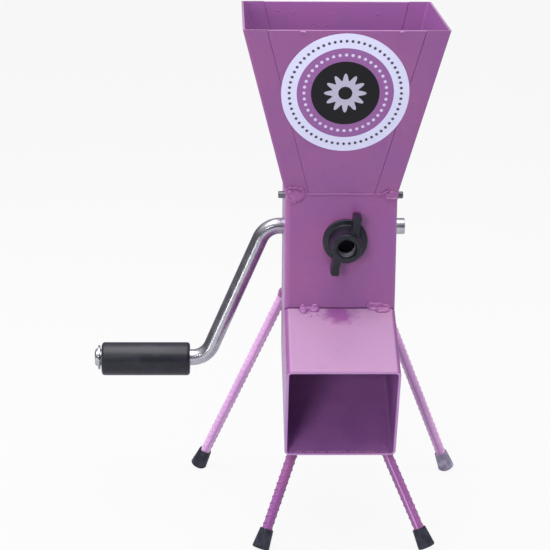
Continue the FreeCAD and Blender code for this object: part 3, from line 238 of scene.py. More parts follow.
def printed_vinyl(name):
    """Printed vinyl film: pale rim, a field in the paint's colour and a dark middle with a rosette."""
    material = new_material(name)
    place = add(material, "TexCoord")
    middle = TO_FRAME @ LABEL_MIDDLE
    centred = add(material, "VectorMath", {"operation": "SUBTRACT", 1: middle}, {0: place.outputs["Object"]})
    flat = add(material, "VectorRotate", {"rotation_type": "X_AXIS", "Angle": -PLATE_SLOPE},
               {"Vector": centred.outputs["Vector"]})
    parts = add(material, "SeparateXYZ", links={"Vector": flat.outputs["Vector"]})
    plane = add(material, "CombineXYZ", links={"X": parts.outputs["X"], "Y": parts.outputs["Z"]})
    reach = add(material, "VectorMath", {"operation": "LENGTH"}, {0: plane.outputs["Vector"]})
    share = add(material, "Math", {"operation": "DIVIDE", 1: LABEL_RADIUS * MM}, {0: reach.outputs["Value"]})
    angle = add(material, "Math", {"operation": "ARCTAN2"}, {0: parts.outputs["Z"], 1: parts.outputs["X"]})

    rim, field, dark, pale = (linear(code) for code in ("D9DAF2", "93609A", "101014", "B9B4C8"))
    rings = add(material, "ValToRGB", links={"Fac": share.outputs["Value"]})
    ramp_stops(rings, [(0.0, dark), (0.535, field), (0.755, rim)], "CONSTANT")

    # A rosette of twelve petals in the middle: its edge swings in and out round the circle.
    turns = add(material, "Math", {"operation": "MULTIPLY", 1: 12.0}, {0: angle.outputs["Value"]})
    swing = add(material, "Math", {"operation": "COSINE"}, {0: turns.outputs["Value"]})
    edge = add(material, "Math", {"operation": "MULTIPLY_ADD", 1: 0.06, 2: 0.27}, {0: swing.outputs["Value"]})
    inside = add(material, "Math", {"operation": "LESS_THAN"},
                 {0: share.outputs["Value"], 1: edge.outputs["Value"]})
    hollow = add(material, "Math", {"operation": "GREATER_THAN", 1: 0.11}, {0: share.outputs["Value"]})
    petal = add(material, "Math", {"operation": "MULTIPLY"},
                {0: inside.outputs["Value"], 1: hollow.outputs["Value"]})
    colour = colour_mix(material, petal.outputs["Value"], rings.outputs["Color"], pale)

    # Each bead is a disc about the top of a wave that runs round the row.
    for row, width, count, ink in BEAD_ROWS:
        step = add(material, "Math", {"operation": "MULTIPLY", 1: count / 2}, {0: angle.outputs["Value"]})
        wave = add(material, "Math", {"operation": "SINE"}, {0: step.outputs["Value"]})
        round_row = add(material, "Math", {"operation": "POWER", 1: 2.0}, {0: wave.outputs["Value"]})
        away = add(material, "Math", {"operation": "SUBTRACT", 1: row}, {0: share.outputs["Value"]})
        across = add(material, "Math", {"operation": "DIVIDE", 1: width}, {0: away.outputs["Value"]})
        over_row = add(material, "Math", {"operation": "POWER", 1: 2.0}, {0: across.outputs["Value"]})
        total = add(material, "Math", {"operation": "ADD"},
                    {0: round_row.outputs["Value"], 1: over_row.outputs["Value"]})
        bead = add(material, "MapRange", {"From Min": 0.62, "From Max": 0.42},
                   {"Value": total.outputs["Value"]})
        colour = colour_mix(material, bead.outputs["Result"], colour, linear(ink))

    grain = size_noise(material, 0.9)
    bump = add(material, "Bump", {"Strength": 0.05, "Distance": 0.2 * MM}, {"Height": grain.outputs["Fac"]})
    shine = spread(material, size_noise(material, 14, 3.0), 0.32, 0.5)
    shader = add(material, "BsdfPrincipled", {"IOR": 1.48, "Specular IOR Level": 0.3},
                 {"Base Color": colour, "Roughness": shine.outputs["Result"],
                  "Normal": bump.outputs["Normal"]})
    return put_out(material, shader)


def white_share(material, direct, mirrored):
    """How much plain white a ray gets: one share straight from the camera, one by way of metal or glass."""
    path = add(material, "LightPath")
    seen = add(material, "Math", {"operation": "MULTIPLY", 1: direct}, {0: path.outputs["Is Camera Ray"]})
    bent = add(material, "Math", {"operation": "ADD"},
               {0: path.outputs["Is Glossy Ray"], 1: path.outputs["Is Transmission Ray"]})
    both = add(material, "Math", {"operation": "MULTIPLY_ADD", 1: mirrored, "use_clamp": True},
               {0: bent.outputs["Value"], 2: seen.outputs["Value"]})
    return both.outputs["Value"]


def pale_paper(name):
    """The floor: matt white paper that keeps the object's shadow and stays white to the camera."""
    material = new_material(name)
    fibre = size_noise(material, 2)
    tone = add(material, "ValToRGB", links={"Fac": fibre.outputs["Fac"]})
    ramp_stops(tone, [(0.0, linear("B6B6BA")), (1.0, linear("BEBEC2"))])
    matt = add(material, "BsdfDiffuse", links={"Color": tone.outputs["Color"]})
    white = add(material, "Emission", {"Color": (1, 1, 1, 1), "Strength": 1.0})
    mixed = add(material, "MixShader",
                links={"Fac": white_share(material, 0.9, 0.15), 1: matt.outputs[0], 2: white.outputs[0]})
    return put_out(material, mixed)


VIOLET = enamel("violet_enamel", "92528B", "8A4F8D")
DRY_VIOLET = enamel("dry_violet_enamel", "9D66A4", "8F5C9A", 0.7, 0.3, 0.0, 0.0)
INNER_VIOLET = enamel("inner_violet_enamel", "8B4F8C", "84508C", 0.6, 0.2, 0.3, 0.0)
WELD_VIOLET = enamel("glossy_violet_enamel", "97558F", "905292", 0.4, 0.1, 1.0, 0.1, 0.08)
# Painted light: the rear bars' paint is paler, standing for light washing over them.
PAINTED_LIGHT_VIOLET = enamel("painted_light_violet_enamel", "DAAAD6", "CE9ECC", 0.5, 0.12, 0.3)
# Paler paint for the mouth's cut end and the bars' seams: thin paint with a painted highlight.
THIN_HIGHLIGHT_VIOLET = enamel("thin_and_highlight_violet_enamel", "BE8FC2", "B586BC", 0.45, 0.15)
BRIGHT = drawn_steel("bright_drawn_steel", "C9C8CC", "B4B3BA", 0.17)
BRIGHT_PIN = drawn_steel("pin_steel", "7E7C84", "6A686F", 0.3)
OILED = drawn_steel("oiled_tool_steel", "6E6E74", "55555B", 0.34, 0.2)
WIRE = drawn_steel("spring_wire", "8E8E94", "76767C", 0.3, 0.05, 1)
INSERT = drawn_steel("blackened_steel", "3A3A40", "26262A", 0.4, 0.1, 1)
THREAD = drawn_steel("worn_thread_steel", "9A9AA0", "606066", 0.3, 0.1, 1, 0.5)
# Painted shade: the stud is near black so that its end, deep in the nut's bore, reads as the shade there.
SHADE_DARK_STUD = drawn_steel("shade_dark_stud_steel", "2A2A2E", "1E1E22", 0.6, 0.3, 1)
BRONZE = drawn_steel("sintered_bronze", "A98456", "8D6C44", 0.42, 0.25)
BLACK = moulded_plastic("black_abs", "14151E", "23242F", 0.36, 0.25)
NUT_BLACK = moulded_plastic("black_nylon", "10121A", "20222E", 0.34, 0.25, 1.5)
BLACK_CAP = moulded_plastic("black_polythene", "181A24", "363946", 0.42)
GREY_CAP = moulded_plastic("grey_polythene", "827A90", "BBB4C6", 0.5)
VINYL = printed_vinyl("printed_vinyl")


# ---------------------------------------------------------------- helpers for pieces

def piece(name, bm, materials, body, nodes, angle=30, even=False):
    """Turns a finished bmesh, in the frame and in metres, into a piece that rides on its body, if it has one.

    angle is where smooth shading ends; even keeps large flat faces flat beside their rounded edges.
    """
    mesh = bpy.data.meshes.new(name)
    bm.to_mesh(mesh)
    bm.free()
    obj = bpy.data.objects.new(name, mesh)
    bpy.context.collection.objects.link(obj)
    for material in materials:
        mesh.materials.append(material)
    mesh.shade_smooth()
    mesh.set_sharp_from_angle(angle=math.radians(angle))
    if even:
        obj.modifiers.new("Even", "WEIGHTED_NORMAL").keep_sharp = True
    if body:
        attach(obj, body)
    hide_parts(*nodes)
    return obj


def dress(material, *nodes):
    """Gives CAD nodes that stay as they are a finish."""
    for name in nodes:
        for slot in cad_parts[name].material_slots:
            slot.material = material


def tidy(bm):
    """Merges doubles on a mesh in millimetres and turns its normals outwards."""
    bmesh.ops.remove_doubles(bm, verts=bm.verts, dist=0.001)
    bmesh.ops.recalc_face_normals(bm, faces=bm.faces)
    return bm


def move(bm, matrix, verts=None):
    """Moves a mesh, or some of its vertices."""
    bmesh.ops.transform(bm, matrix=matrix, verts=verts if verts is not None else bm.verts)
    return bm


def join(bm, other):
    """Adds a mesh to another and frees it."""
    mesh = bpy.data.meshes.new("joined")
    other.to_mesh(mesh)
    other.free()
    bm.from_mesh(mesh)
    bpy.data.meshes.remove(mesh)


def lathe(profile, steps):
    """A turned piece about Z from (radius, height) points."""
    bm = bmesh.new()
    points = [bm.verts.new((radius, 0, height)) for radius, height in profile]
    for start, end in zip(points, points[1:]):
        bm.edges.new((start, end))
    bmesh.ops.spin(bm, geom=bm.verts[:] + bm.edges[:], cent=(0, 0, 0), axis=(0, 0, 1), angle=math.tau,
                   steps=steps, use_merge=True)
    return tidy(bm)


def rounded(corners, rounds, steps):
    """A profile whose corners are rounded off by the radius given for each, 0 for a sharp one."""
    points = []
    count = len(corners)
    for i, (corner, radius) in enumerate(zip(corners, rounds)):
        here = Vector(corner)
        if not radius or i in (0, count - 1):
            points.append(tuple(here))
            continue
        before = (Vector(corners[i - 1]) - here).normalized()
        after = (Vector(corners[i + 1]) - here).normalized()
        half = before.angle(after) / 2
        reach = radius / math.tan(half)
        middle = here + (before + after).normalized() * (radius / math.sin(half))
        first = here + before * reach - middle
        last = here + after * reach - middle
        start = math.atan2(first.y, first.x)
        sweep = (math.atan2(last.y, last.x) - start + math.pi) % math.tau - math.pi
        for k in range(steps + 1):
            angle = start + sweep * k / steps
            points.append((middle.x + radius * math.cos(angle), middle.y + radius * math.sin(angle)))
    return points


def aimed(start, end, axis="Z"):
    """Matrix that takes a piece's own origin to start and turns its axis towards end."""
    direction = (end - start).normalized()
    return Matrix.Translation(start) @ direction.to_track_quat(axis, "Y").to_matrix().to_4x4()


def merged_copy(node):
    """A CAD node's mesh as clean faces, in metres."""
    bm = bmesh.new()
    bm.from_mesh(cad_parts[node].data)
    bmesh.ops.remove_doubles(bm, verts=bm.verts, dist=0.002 * MM)
    bmesh.ops.dissolve_limit(bm, angle_limit=math.radians(0.5), verts=bm.verts, edges=bm.edges)
    return bm


def corner_edges(bm):
    """Edges whose faces meet at more than 35 degrees."""
    return [edge for edge in bm.edges
            if len(edge.link_faces) == 2 and edge.calc_face_angle(0) > math.radians(35)]


def cube(bm, matrix):
    """Adds a unit cube that a matrix puts in place; returns its vertices."""
    made = bmesh.ops.create_cube(bm, size=1)["verts"]
    move(bm, matrix, made)
    return made


def ball(bm, middle, half, tilt=0.0, detail=1):
    """Adds an ellipsoid with half sizes, tilted about X."""
    made = bmesh.ops.create_icosphere(bm, subdivisions=detail, radius=1)["verts"]
    move(bm, Matrix.Translation(middle) @ Matrix.Rotation(tilt, 4, "X") @ Matrix.Diagonal((*half, 1)), made)


def island(verts):
    """All vertices that edges join to these."""
    found, stack = set(verts), list(verts)
    while stack:
        for edge in stack.pop().link_edges:
            for vert in edge.verts:
                if vert not in found:
                    found.add(vert)
                    stack.append(vert)
    return found


def soften(bm, edges, width, segments=2):
    """Rounds edges by a width in millimetres."""
    bmesh.ops.bevel(bm, geom=edges, offset=width * MM, offset_type="OFFSET", affect="EDGES",
                    segments=segments, profile=0.5, material=-1, clamp_overlap=True)


def melted(bm, voxel, rounds):
    """Runs a mesh's closed shells together into one skin of even faces, and smooths it some rounds."""
    mesh = bpy.data.meshes.new("shells")
    move(bm, Matrix.Scale(MM, 4))
    bm.to_mesh(mesh)
    bm.free()
    obj = bpy.data.objects.new("shells", mesh)
    bpy.context.collection.objects.link(obj)
    skin = obj.modifiers.new("Skin", "REMESH")
    skin.mode = "VOXEL"
    skin.voxel_size = voxel * MM
    smooth = obj.modifiers.new("Smooth", "SMOOTH")
    smooth.factor = 0.5
    smooth.iterations = rounds
    graph = bpy.context.evaluated_depsgraph_get()
    result = bmesh.new()
    result.from_mesh(obj.evaluated_get(graph).to_mesh())
    bpy.data.objects.remove(obj)
    bpy.data.meshes.remove(mesh)
    return move(result, Matrix.Scale(1 / MM, 4))


# ---------------------------------------------------------------- tube, chute and hopper

TUBE_AXES = {"body_tube": Vector((0, 0, 1)), "chute_tube": DOWN_CHUTE}
TUBE_WALL = 2.0
SLIT = 1.0                                      # gap left between the mitred ends
ROOF_RUN = 70.0                                 # the chute's roof, crease to mouth
CREASE = Vector((0, -TUBE_HALF, 0))             # where the body's front meets the chute's roof
MOUTH_RUN = (CREASE - MITRE).dot(DOWN_CHUTE) + ROOF_RUN     # the mouth from the mitre, along the chute
BURRS, SPATTER = 90, 26                         # how many beads lie on the mouth's edge and by the welds


def chance(low, high):
    """The next random number, between low and high."""
    return low + (high - low) * noise.random()


def burrs():
    """Beads of paint on the saw burr along the mouth's lower inner edge."""
    bm = bmesh.new()
    lip = MITRE + DOWN_CHUTE * MOUTH_RUN - OUT_OF_ROOF * (TUBE_HALF - TUBE_WALL)
    noise.seed_set(7)
    for _ in range(BURRS):
        x, back, size = chance(-36, 36), chance(0.7, 2.3), chance(0.5, 1.25)
        spot = lip + OUT_OF_ROOF * 0.2 * size - DOWN_CHUTE * back + Vector((x, 0, 0))
        ball(bm, spot, (size * 1.5, size, size * 0.7))
    return move(bm, TO_FRAME)


def make_tubes():
    """Both square tubes: glossy outside, with a dry dusting of paint inside and, on the cut end, thin paint
    with a painted highlight.
    """
    for node, axis in TUBE_AXES.items():
        bm = merged_copy(node)
        if node == "chute_tube":
            across = Vector((0, math.sin(MITRE_TILT), math.cos(MITRE_TILT)))
            mitred = [vert for vert in bm.verts
                      if abs((TO_FRAME.inverted() @ vert.co - MITRE).dot(across)) < 0.05]
            bmesh.ops.translate(bm, verts=mitred, vec=DOWN_CHUTE * SLIT * MM)
        soften(bm, corner_edges(bm), 0.35)
        bm.normal_update()
        for face in bm.faces:
            inwards = MITRE - TO_FRAME.inverted() @ face.calc_center_median()
            inwards -= axis * inwards.dot(axis)
            if face.normal.dot(inwards.normalized()) > 0.3:
                face.material_index = 1
            elif node == "chute_tube" and face.normal.dot(DOWN_CHUTE) > 0.6:
                face.material_index = 2
        if node == "chute_tube":
            join(bm, burrs())
        paints = (VIOLET, DRY_VIOLET, THIN_HIGHLIGHT_VIOLET)
        piece("enamelled_" + node, bm, paints, "frame", [node], even=True)


def make_sheet(node, bm, groove):
    """One of the hopper's sheets, rounded along its grooves and rim, with the duller paint of its inside."""
    soften(bm, [edge for edge in corner_edges(bm) if edge.calc_length() > 100 * MM], groove)
    soften(bm, corner_edges(bm), 0.45)
    sheet = piece("enamelled_" + node, bm, (VIOLET, INNER_VIOLET), "frame", [node], even=True)
    for face in sheet.data.polygons:
        inwards = MITRE - TO_FRAME.inverted() @ face.center
        inwards.z = 0
        if face.normal.dot(inwards.normalized()) > 0.5:
            face.material_index = 1


FOLD_FOOT, FOLD_RIM = 37.5, 68.0                # the folds lie further out than this at foot and rim
FOLD_RISE = 100                                 # and rise further than this


def make_hopper():
    """Side sheets with rounded folds, and the plates between their flanges."""
    for node, side in (("hopper_left_side", -1), ("hopper_right_side", 1)):
        bm = merged_copy(node)
        folds = []
        for edge in corner_edges(bm):
            low, high = sorted((TO_FRAME.inverted() @ vert.co for vert in edge.verts), key=lambda p: p.z)
            if high.z - low.z > FOLD_RISE and low.x * side > FOLD_FOOT and high.x * side > FOLD_RIM:
                folds.append(edge)
        soften(bm, folds, 1.6, 4)
        make_sheet(node, bm, 0.55)
    for node in ("hopper_front_plate", "hopper_back_plate"):
        make_sheet(node, merged_copy(node), 0.6)


def make_label():
    """Round film on the hopper's front plate."""
    bm = lathe(rounded([(0, 0), (LABEL_RADIUS, 0), (LABEL_RADIUS, LABEL_FILM), (0, LABEL_FILM)],
                       [0, 0, 0.12, 0], 3), 160)
    turn = Matrix.Rotation(math.pi / 2 + PLATE_SLOPE, 4, "X")
    move(bm, TO_FRAME @ Matrix.Translation(LABEL_MIDDLE) @ turn)
    piece("round_sticker", bm, (VINYL,), "frame", ["hopper_label"])


# ---------------------------------------------------------------- crank

BAR = 6.0                                       # half the bar's thickness
SHAFT = Vector((0, 16, 46.4))                   # a point on the shaft's axis
SHAFT_END = 50.3                                # its free end on the right
THROW = 102.7                                   # shaft's axis to the rod's
ARM_TOP, ARM_FOOT = -52.7, -97.1                # where the arm's axis meets the shaft's and the rod's
BEND = 16.0                                     # radius of the bends, at the bar's axis
ROD_END = -178.4
ROD = SHAFT - Vector((0, 0, THROW))
PEEN_RADIUS, PEEN_HIGH = 6.7, 2.5               # the rod's hammered end
GRIP_RADIUS, GRIP_BORE, GRIP_LENGTH = 12.5, 7.5, 66.4
GRIP_RIGHT = -109.3                             # the grip's end by the bend
GRIP_HANGS = 1.2                                # its axis below the rod's


def make_crank():
    """Bright bar with two bends; the rod's end is hammered over its washer."""
    top, foot = Vector((ARM_TOP, 0, 0)), Vector((ARM_FOOT, 0, -THROW))
    arm = (foot - top).normalized()
    turn = math.acos(-arm.x)
    near = BEND * math.tan(turn / 2)
    bm = bmesh.new()
    bmesh.ops.create_circle(bm, cap_ends=True, segments=40, radius=BAR)
    to_left = Matrix.Rotation(-math.pi / 2, 4, "Y")
    move(bm, Matrix.Translation((SHAFT_END, 0, 0)) @ to_left)
    end = bm.faces[:]

    def run(length, direction):
        made = bmesh.ops.extrude_face_region(bm, geom=end)
        verts = [item for item in made["geom"] if isinstance(item, bmesh.types.BMVert)]
        bmesh.ops.translate(bm, verts=verts, vec=direction * length)
        return [item for item in made["geom"] if isinstance(item, bmesh.types.BMFace)]

    def bend(centre, angle):
        made = bmesh.ops.spin(bm, geom=end, cent=centre, axis=(0, 1, 0), angle=angle, steps=14)
        return [item for item in made["geom_last"] if isinstance(item, bmesh.types.BMFace)]

    leftwards = Vector((-1, 0, 0))
    end = run(SHAFT_END - (ARM_TOP + near), leftwards)
    end = bend((ARM_TOP + near, 0, -BEND), -turn)
    end = run((foot - top).length - 2 * near, arm)
    end = bend((ARM_FOOT - near, 0, -THROW + BEND), turn)
    end = run(ARM_FOOT - near - ROD_END + 0.5, leftwards)
    tidy(bm)
    rims = [edge for edge in bm.edges if edge.calc_face_angle(0) > 1.2]
    bmesh.ops.bevel(bm, geom=rims, offset=0.5, affect="EDGES", segments=3, profile=0.5, material=-1)
    move(bm, TO_FRAME @ Matrix.Translation(SHAFT))

    head = lathe(rounded([(0, 0), (PEEN_RADIUS, 0), (PEEN_RADIUS, PEEN_HIGH), (0, PEEN_HIGH)],
                         [0, 0.3, 2.0, 0], 6), 40)
    for vert in head.verts:
        if vert.co.z > 1:
            vert.co += Vector(noise.noise_vector(vert.co * 0.45)) * 0.08
    join(bm, move(head, TO_FRAME @ Matrix.Translation((ROD_END, *ROD.yz)) @ to_left))
    piece("bent_crank_bar", bm, (BRIGHT,), "crank", ["crank_bar"])

    bm = merged_copy("grip_washer")
    soften(bm, corner_edges(bm), 0.2)
    piece("rod_washer", bm, (BRIGHT,), "crank", ["grip_washer"])


def make_grip():
    """Moulded tube: rounded at both ends, bored through."""
    outer, bore, length = GRIP_RADIUS, GRIP_BORE, GRIP_LENGTH
    profile = rounded([(bore, length / 2), (bore, 0), (outer, 0), (outer, length), (bore, length),
                       (bore, length / 2)], [0, 0.6, 2.2, 2.2, 0.6, 0], 6)
    place = Matrix.Translation((GRIP_RIGHT - length, ROD.y, ROD.z - GRIP_HANGS))
    bm = move(lathe(profile, 96), TO_FRAME @ place @ Matrix.Rotation(math.pi / 2, 4, "Y"))
    piece("moulded_grip", bm, (BLACK,), "grip", ["handle_grip"])


# ---------------------------------------------------------------- wing nut

WING_LEAN = math.radians(9)
WING_START, WING_REACH = 8.4, 22.4              # a wing's ends from the nut's axis
WING_LOW, WING_HIGH = 2.0, 18.0                 # its edges above the nut's foot
WING_ASIDE = 4.6                                # its middle plane from the nut's axis
# Half thickness of a wing at distances from the nut's axis.
WING_SHAPE = ((0, 2.8), (11, 2.7), (15, 2.45), (18, 2.6), (20.5, 2.95), (WING_REACH, 3.0))
# The hub's and flange's outline round the insert's seat: radius, height and rounding of each corner.
HUB = ((8.2, 0, 0), (16, 0, 0.3), (16, 2.6, 0.7), (11.8, 3.4, 1.2), (11.4, 13.2, 2), (10.5, 19, 2),
       (10.5, 24, 0.7), (7, 24, 0.5), (7, 22.6, 0), (8.2, 22.6, 0), (8.2, 0, 0))


def between(table, where):
    """Reads a value off a table of (place, value) pairs."""
    for (near, low), (far, high) in zip(table, table[1:]):
        if where <= far:
            return low + (high - low) * (where - near) / (far - near)
    return table[-1][1]


def make_nut():
    """Moulded wing nut: flange, hub and two wings set aside from its axis, all one moulding."""
    hub = lathe(rounded([corner[:2] for corner in HUB], [corner[2] for corner in HUB], 4), 96)
    blade = bmesh.new()
    middle = Vector((WING_START + WING_REACH, 0, WING_LOW + WING_HIGH)) / 2
    cube(blade, Matrix.Translation(middle)
         @ Matrix.Diagonal((WING_REACH - WING_START, 2, WING_HIGH - WING_LOW, 1)))
    lengthways = [edge for edge in blade.edges if abs(edge.verts[0].co.x - edge.verts[1].co.x) > 1]
    bmesh.ops.subdivide_edges(blade, edges=lengthways, cuts=14, use_grid_fill=True)
    for vert in blade.verts:
        vert.co.y *= between(WING_SHAPE, vert.co.x)
    tip = [edge for edge in blade.edges if min(vert.co.x for vert in edge.verts) > WING_REACH - 0.01
           and abs(edge.verts[0].co.z - edge.verts[1].co.z) > 1]
    bmesh.ops.bevel(blade, geom=tip, offset=2.2, affect="EDGES", segments=5, profile=0.5, material=-1)
    move(blade, Matrix.Translation((0, -WING_ASIDE, 0)))
    for angle in (0, math.pi):
        join(hub, move(blade.copy(), Matrix.Rotation(angle, 4, "Z")))
    blade.free()
    turn = Matrix.Rotation(math.pi / 2, 4, "X") @ Matrix.Rotation(math.pi / 2 - WING_LEAN, 4, "Z")
    bm = move(melted(hub, 0.3, 5), TO_FRAME @ Matrix.Translation(NUT) @ turn)
    piece("moulded_wing_nut", bm, (NUT_BLACK,), "nut", ["wing_nut"], 60)

    bm = merged_copy("wing_nut_insert")
    bm.normal_update()
    for face in bm.faces:
        middle = TO_FRAME.inverted() @ face.calc_center_median() - NUT
        middle.y = 0
        if face.normal.dot(middle) < -0.3 * middle.length:
            face.material_index = 1
    piece("threaded_insert", bm, (INSERT, THREAD), "nut", ["wing_nut_insert"])


# ---------------------------------------------------------------- legs and caps

CORE, RIB = 3.6, 0.4                            # the bar's radius and its ribs' height
RIB_PITCH = 5.0
RIB_REACH = math.radians(72)                    # a rib's ends from its middle, round the bar
RIB_SLANT = 1.5                                 # its climb along the bar in a radian
RIB_PROFILE = ((CORE - 0.3, -0.9), (CORE + RIB, -0.35), (CORE + RIB, 0.35), (CORE - 0.3, 0.9))
SEAM_HIGH, SEAM_WIDE = 0.6, 1.1
CAP_FOOT, CAP_FLOOR = 6.4, 4.0                  # a cap's radius at its foot, and its closed end
CAP_BITE = 1.2                                  # what the ground takes off its foot
# A cap's outline: radius, height and rounding of each corner.
CAP = ((0, 0, 0), (CAP_FOOT, 0, 1.2), (4.9, 15, 0.45), (4.1, 15, 0.2), (4.1, CAP_FLOOR, 0), (0, CAP_FLOOR, 0))


def chute_floor(ahead):
    """Height of the chute's underside at a distance ahead of the tube's axis."""
    return -2 * TUBE_HALF * math.tan(MITRE_TILT) - (ahead + TUBE_HALF) * math.tan(CHUTE_TILT)


FRONT_LEGS = 64.0                               # the front legs' tops ahead of the tube's axis
FRONT_TOP = chute_floor(FRONT_LEGS)
# A leg's top and foot, and the way one seam of its bar faces.
LEGS = {
    "front_left": (Vector((-32, -FRONT_LEGS, FRONT_TOP)), Vector((-57.2, -89.5, GROUND)),
                   Vector((0.3, -1, 0.3))),
    "front_right": (Vector((32, -FRONT_LEGS, FRONT_TOP)), Vector((63.2, -88, GROUND)),
                    Vector((-0.35, -1, 0.3))),
    "rear_left": (Vector((-36, 44.2, -10)), Vector((-104.3, 76, GROUND)), Vector((0.2, -1, 0.3))),
    "rear_right": (Vector((36, 44.2, -17)), Vector((94.2, 70, GROUND)), Vector((-0.35, -1, 0.3))),
}
# The paint on each bar and on its seams. The rear bars' paler paint is painted light, and the paler seams on
# most bars are thin paint with a painted highlight.
BAR_PAINTS = {
    "front_left": (VIOLET, VIOLET),
    "front_right": (WELD_VIOLET, THIN_HIGHLIGHT_VIOLET),
    "rear_left": (PAINTED_LIGHT_VIOLET, THIN_HIGHLIGHT_VIOLET),
    "rear_right": (PAINTED_LIGHT_VIOLET, THIN_HIGHLIGHT_VIOLET),
}


def crescent(bm, side, height):
    """A slanting rib on one side of a bar along Z, deepest at its middle."""
    points = [bm.verts.new((radius, 0, height + up)) for radius, up in RIB_PROFILE]
    edges = [bm.edges.new(pair) for pair in zip(points, points[1:])]
    bmesh.ops.transform(bm, matrix=Matrix.Rotation(side - RIB_REACH, 4, "Z"), verts=points)
    bmesh.ops.spin(bm, geom=points + edges, cent=(0, 0, 0), axis=(0, 0, 1), angle=2 * RIB_REACH, steps=10)
    for vert in island(points):
        off_middle = (math.atan2(vert.co.y, vert.co.x) - side + math.pi) % math.tau - math.pi
        radius = math.hypot(vert.co.x, vert.co.y)
        if radius > CORE:
            swell = max(0.0, math.cos(off_middle * 1.2)) ** 0.5
            vert.co.xy *= (CORE - 0.05 + (RIB + 0.05) * swell) / radius
        vert.co.z += RIB_SLANT * off_middle


def make_bar(name, place, start, length, seam_way):
    """Reinforcing bar: two rows of slanting crescent ribs with a seam between them on each side."""
    bm = bmesh.new()
    bmesh.ops.create_cone(bm, cap_ends=True, segments=20, radius1=CORE, radius2=CORE, depth=length)
    middle = Matrix.Translation((0, 0, start + length / 2))
    move(bm, middle)
    ahead = place.to_3x3().inverted() @ seam_way
    seam = math.atan2(ahead.y, ahead.x)
    for side, shift in ((seam + math.pi / 2, 0), (seam + 3 * math.pi / 2, RIB_PITCH / 2)):
        height = start + 2 + shift
        while height < start + length - 3:
            crescent(bm, side, height)
            height += RIB_PITCH
    for side in (seam + math.pi, seam):
        made = cube(bm, Matrix.Rotation(side, 4, "Z") @ Matrix.Translation((CORE, 0, 0)) @ middle
                    @ Matrix.Diagonal((SEAM_HIGH, SEAM_WIDE, length - 0.2, 1)))
        for face in {face for vert in made for face in vert.link_faces}:
            face.material_index = 1
    bmesh.ops.recalc_face_normals(bm, faces=bm.faces)
    move(bm, TO_FRAME @ place)
    piece(name + "_ribbed_bar", bm, BAR_PAINTS[name], "frame", [name + "_leg"], 40)


def make_cap(name, place):
    """Tapered cap on a leg, worn flat where it stands on the ground."""
    bm = lathe(rounded([corner[:2] for corner in CAP], [corner[2] for corner in CAP], 5), 56)
    move(bm, place)
    bmesh.ops.bisect_plane(bm, geom=bm.verts[:] + bm.edges[:] + bm.faces[:], plane_co=(0, 0, GROUND),
                           plane_no=(0, 0, -1), clear_outer=True)
    rim = [edge for edge in bm.edges if edge.is_boundary and abs(edge.verts[0].co.z - GROUND) < 1e-4]
    bmesh.ops.holes_fill(bm, edges=rim, sides=0)
    tidy(bm)
    material, slot = (GREY_CAP, "grey_plastic") if name == "rear_right" else (BLACK_CAP, "foot_plastic")
    piece(name + "_plastic_cap", move(bm, TO_FRAME), (material,), "frame", [name + "_foot"], 40)


def make_leg(name, top, foot, seam_way):
    """A bar and its cap, which is sunk so far that the ground cuts its lower rim."""
    tilt = (top - foot).angle(Vector((0, 0, 1)))
    base = foot + Vector((0, 0, CAP_FOOT * math.sin(tilt) - CAP_BITE))
    place = aimed(base, top)
    make_bar(name, place, CAP_FLOOR, (top - base).length - CAP_FLOOR, seam_way)
    make_cap(name, place)


# ---------------------------------------------------------------- welds

# Flat swellings of weld metal on the front: x, run, then half the width, height and thickness.
# A run is a height above the crease between body and chute, or less than 0 for a way down the roof.
PADS = (
    (-32.8, 83.6, 7.4, 5.6, 1.9), (-37, 86, 3.0, 3.0, 1.7), (35.2, 83.8, 5.4, 2.8, 1.5),
    (-26.2, -2.8, 3.3, 4.6, 1.7), (-18.4, -1.8, 4.0, 3.6, 1.6), (-22.6, -1.0, 4.0, 2.0, 1.3),
    (-26.6, 0.6, 2.8, 2.0, 1.4), (-18, 0.9, 3.0, 2.0, 1.4), (22.6, 1.4, 3.8, 2.9, 1.6),
    (28, 1.0, 4.8, 3.2, 1.6), (33.2, 0.4, 3.8, 2.4, 1.6), (30.5, -2.6, 6.2, 3.6, 1.6),
    (23.4, -1.2, 3.2, 2.2, 1.4),
)
# Raised ridges on them: points as (x, run), and the ridge's radius.
RIDGES = (
    (((-38.5, 88.6), (-36.5, 89.6), (-34.6, 88.7), (-32.6, 89.5), (-30.5, 88.5), (-28.2, 88.3),
      (-26.6, 86.2)), 0.85),
    (((-39.6, 87.2), (-39.2, 84.5), (-37.9, 81.5), (-36, 79), (-33.6, 78)), 0.9),
    (((-31, 81), (-28.6, 81.4)), 0.8),
    (((27.4, 83.6), (29, 84.7), (31.5, 86.4), (33.4, 87.5)), 0.75),
    (((31.8, 84.2), (34, 85.6)), 0.7),
    (((31.6, 81.2), (35, 80.7), (38, 80.8), (39.8, 81.3)), 0.7),
    (((-27.8, 1.2), (-27.9, -1.5), (-27.2, -4.2)), 0.9),
    (((-19.8, 1.0), (-18.4, -1.6)), 0.9),
    (((19.8, 3.2), (23.5, 3.0), (26.5, 2.4)), 0.8),
    (((30.4, 2.4), (33.2, 1.6), (34.6, 0.2)), 0.8),
    (((28.6, -2.2), (30.8, -3.0)), 0.9),
)
TACKS = ((-30, 2.6), (37.4, 2.0))               # on the hopper's rim: x and half width


def skin(x, run, out=0.0):
    """A point on the part's front, or out millimetres before it."""
    if run < 0:
        return CREASE + Vector((x, 0, 0)) - DOWN_CHUTE * run + OUT_OF_ROOF * out
    lean = max(0.0, run - BODY_TOP) * math.tan(PLATE_SLOPE)
    return Vector((x, -TUBE_HALF - lean - out, run))


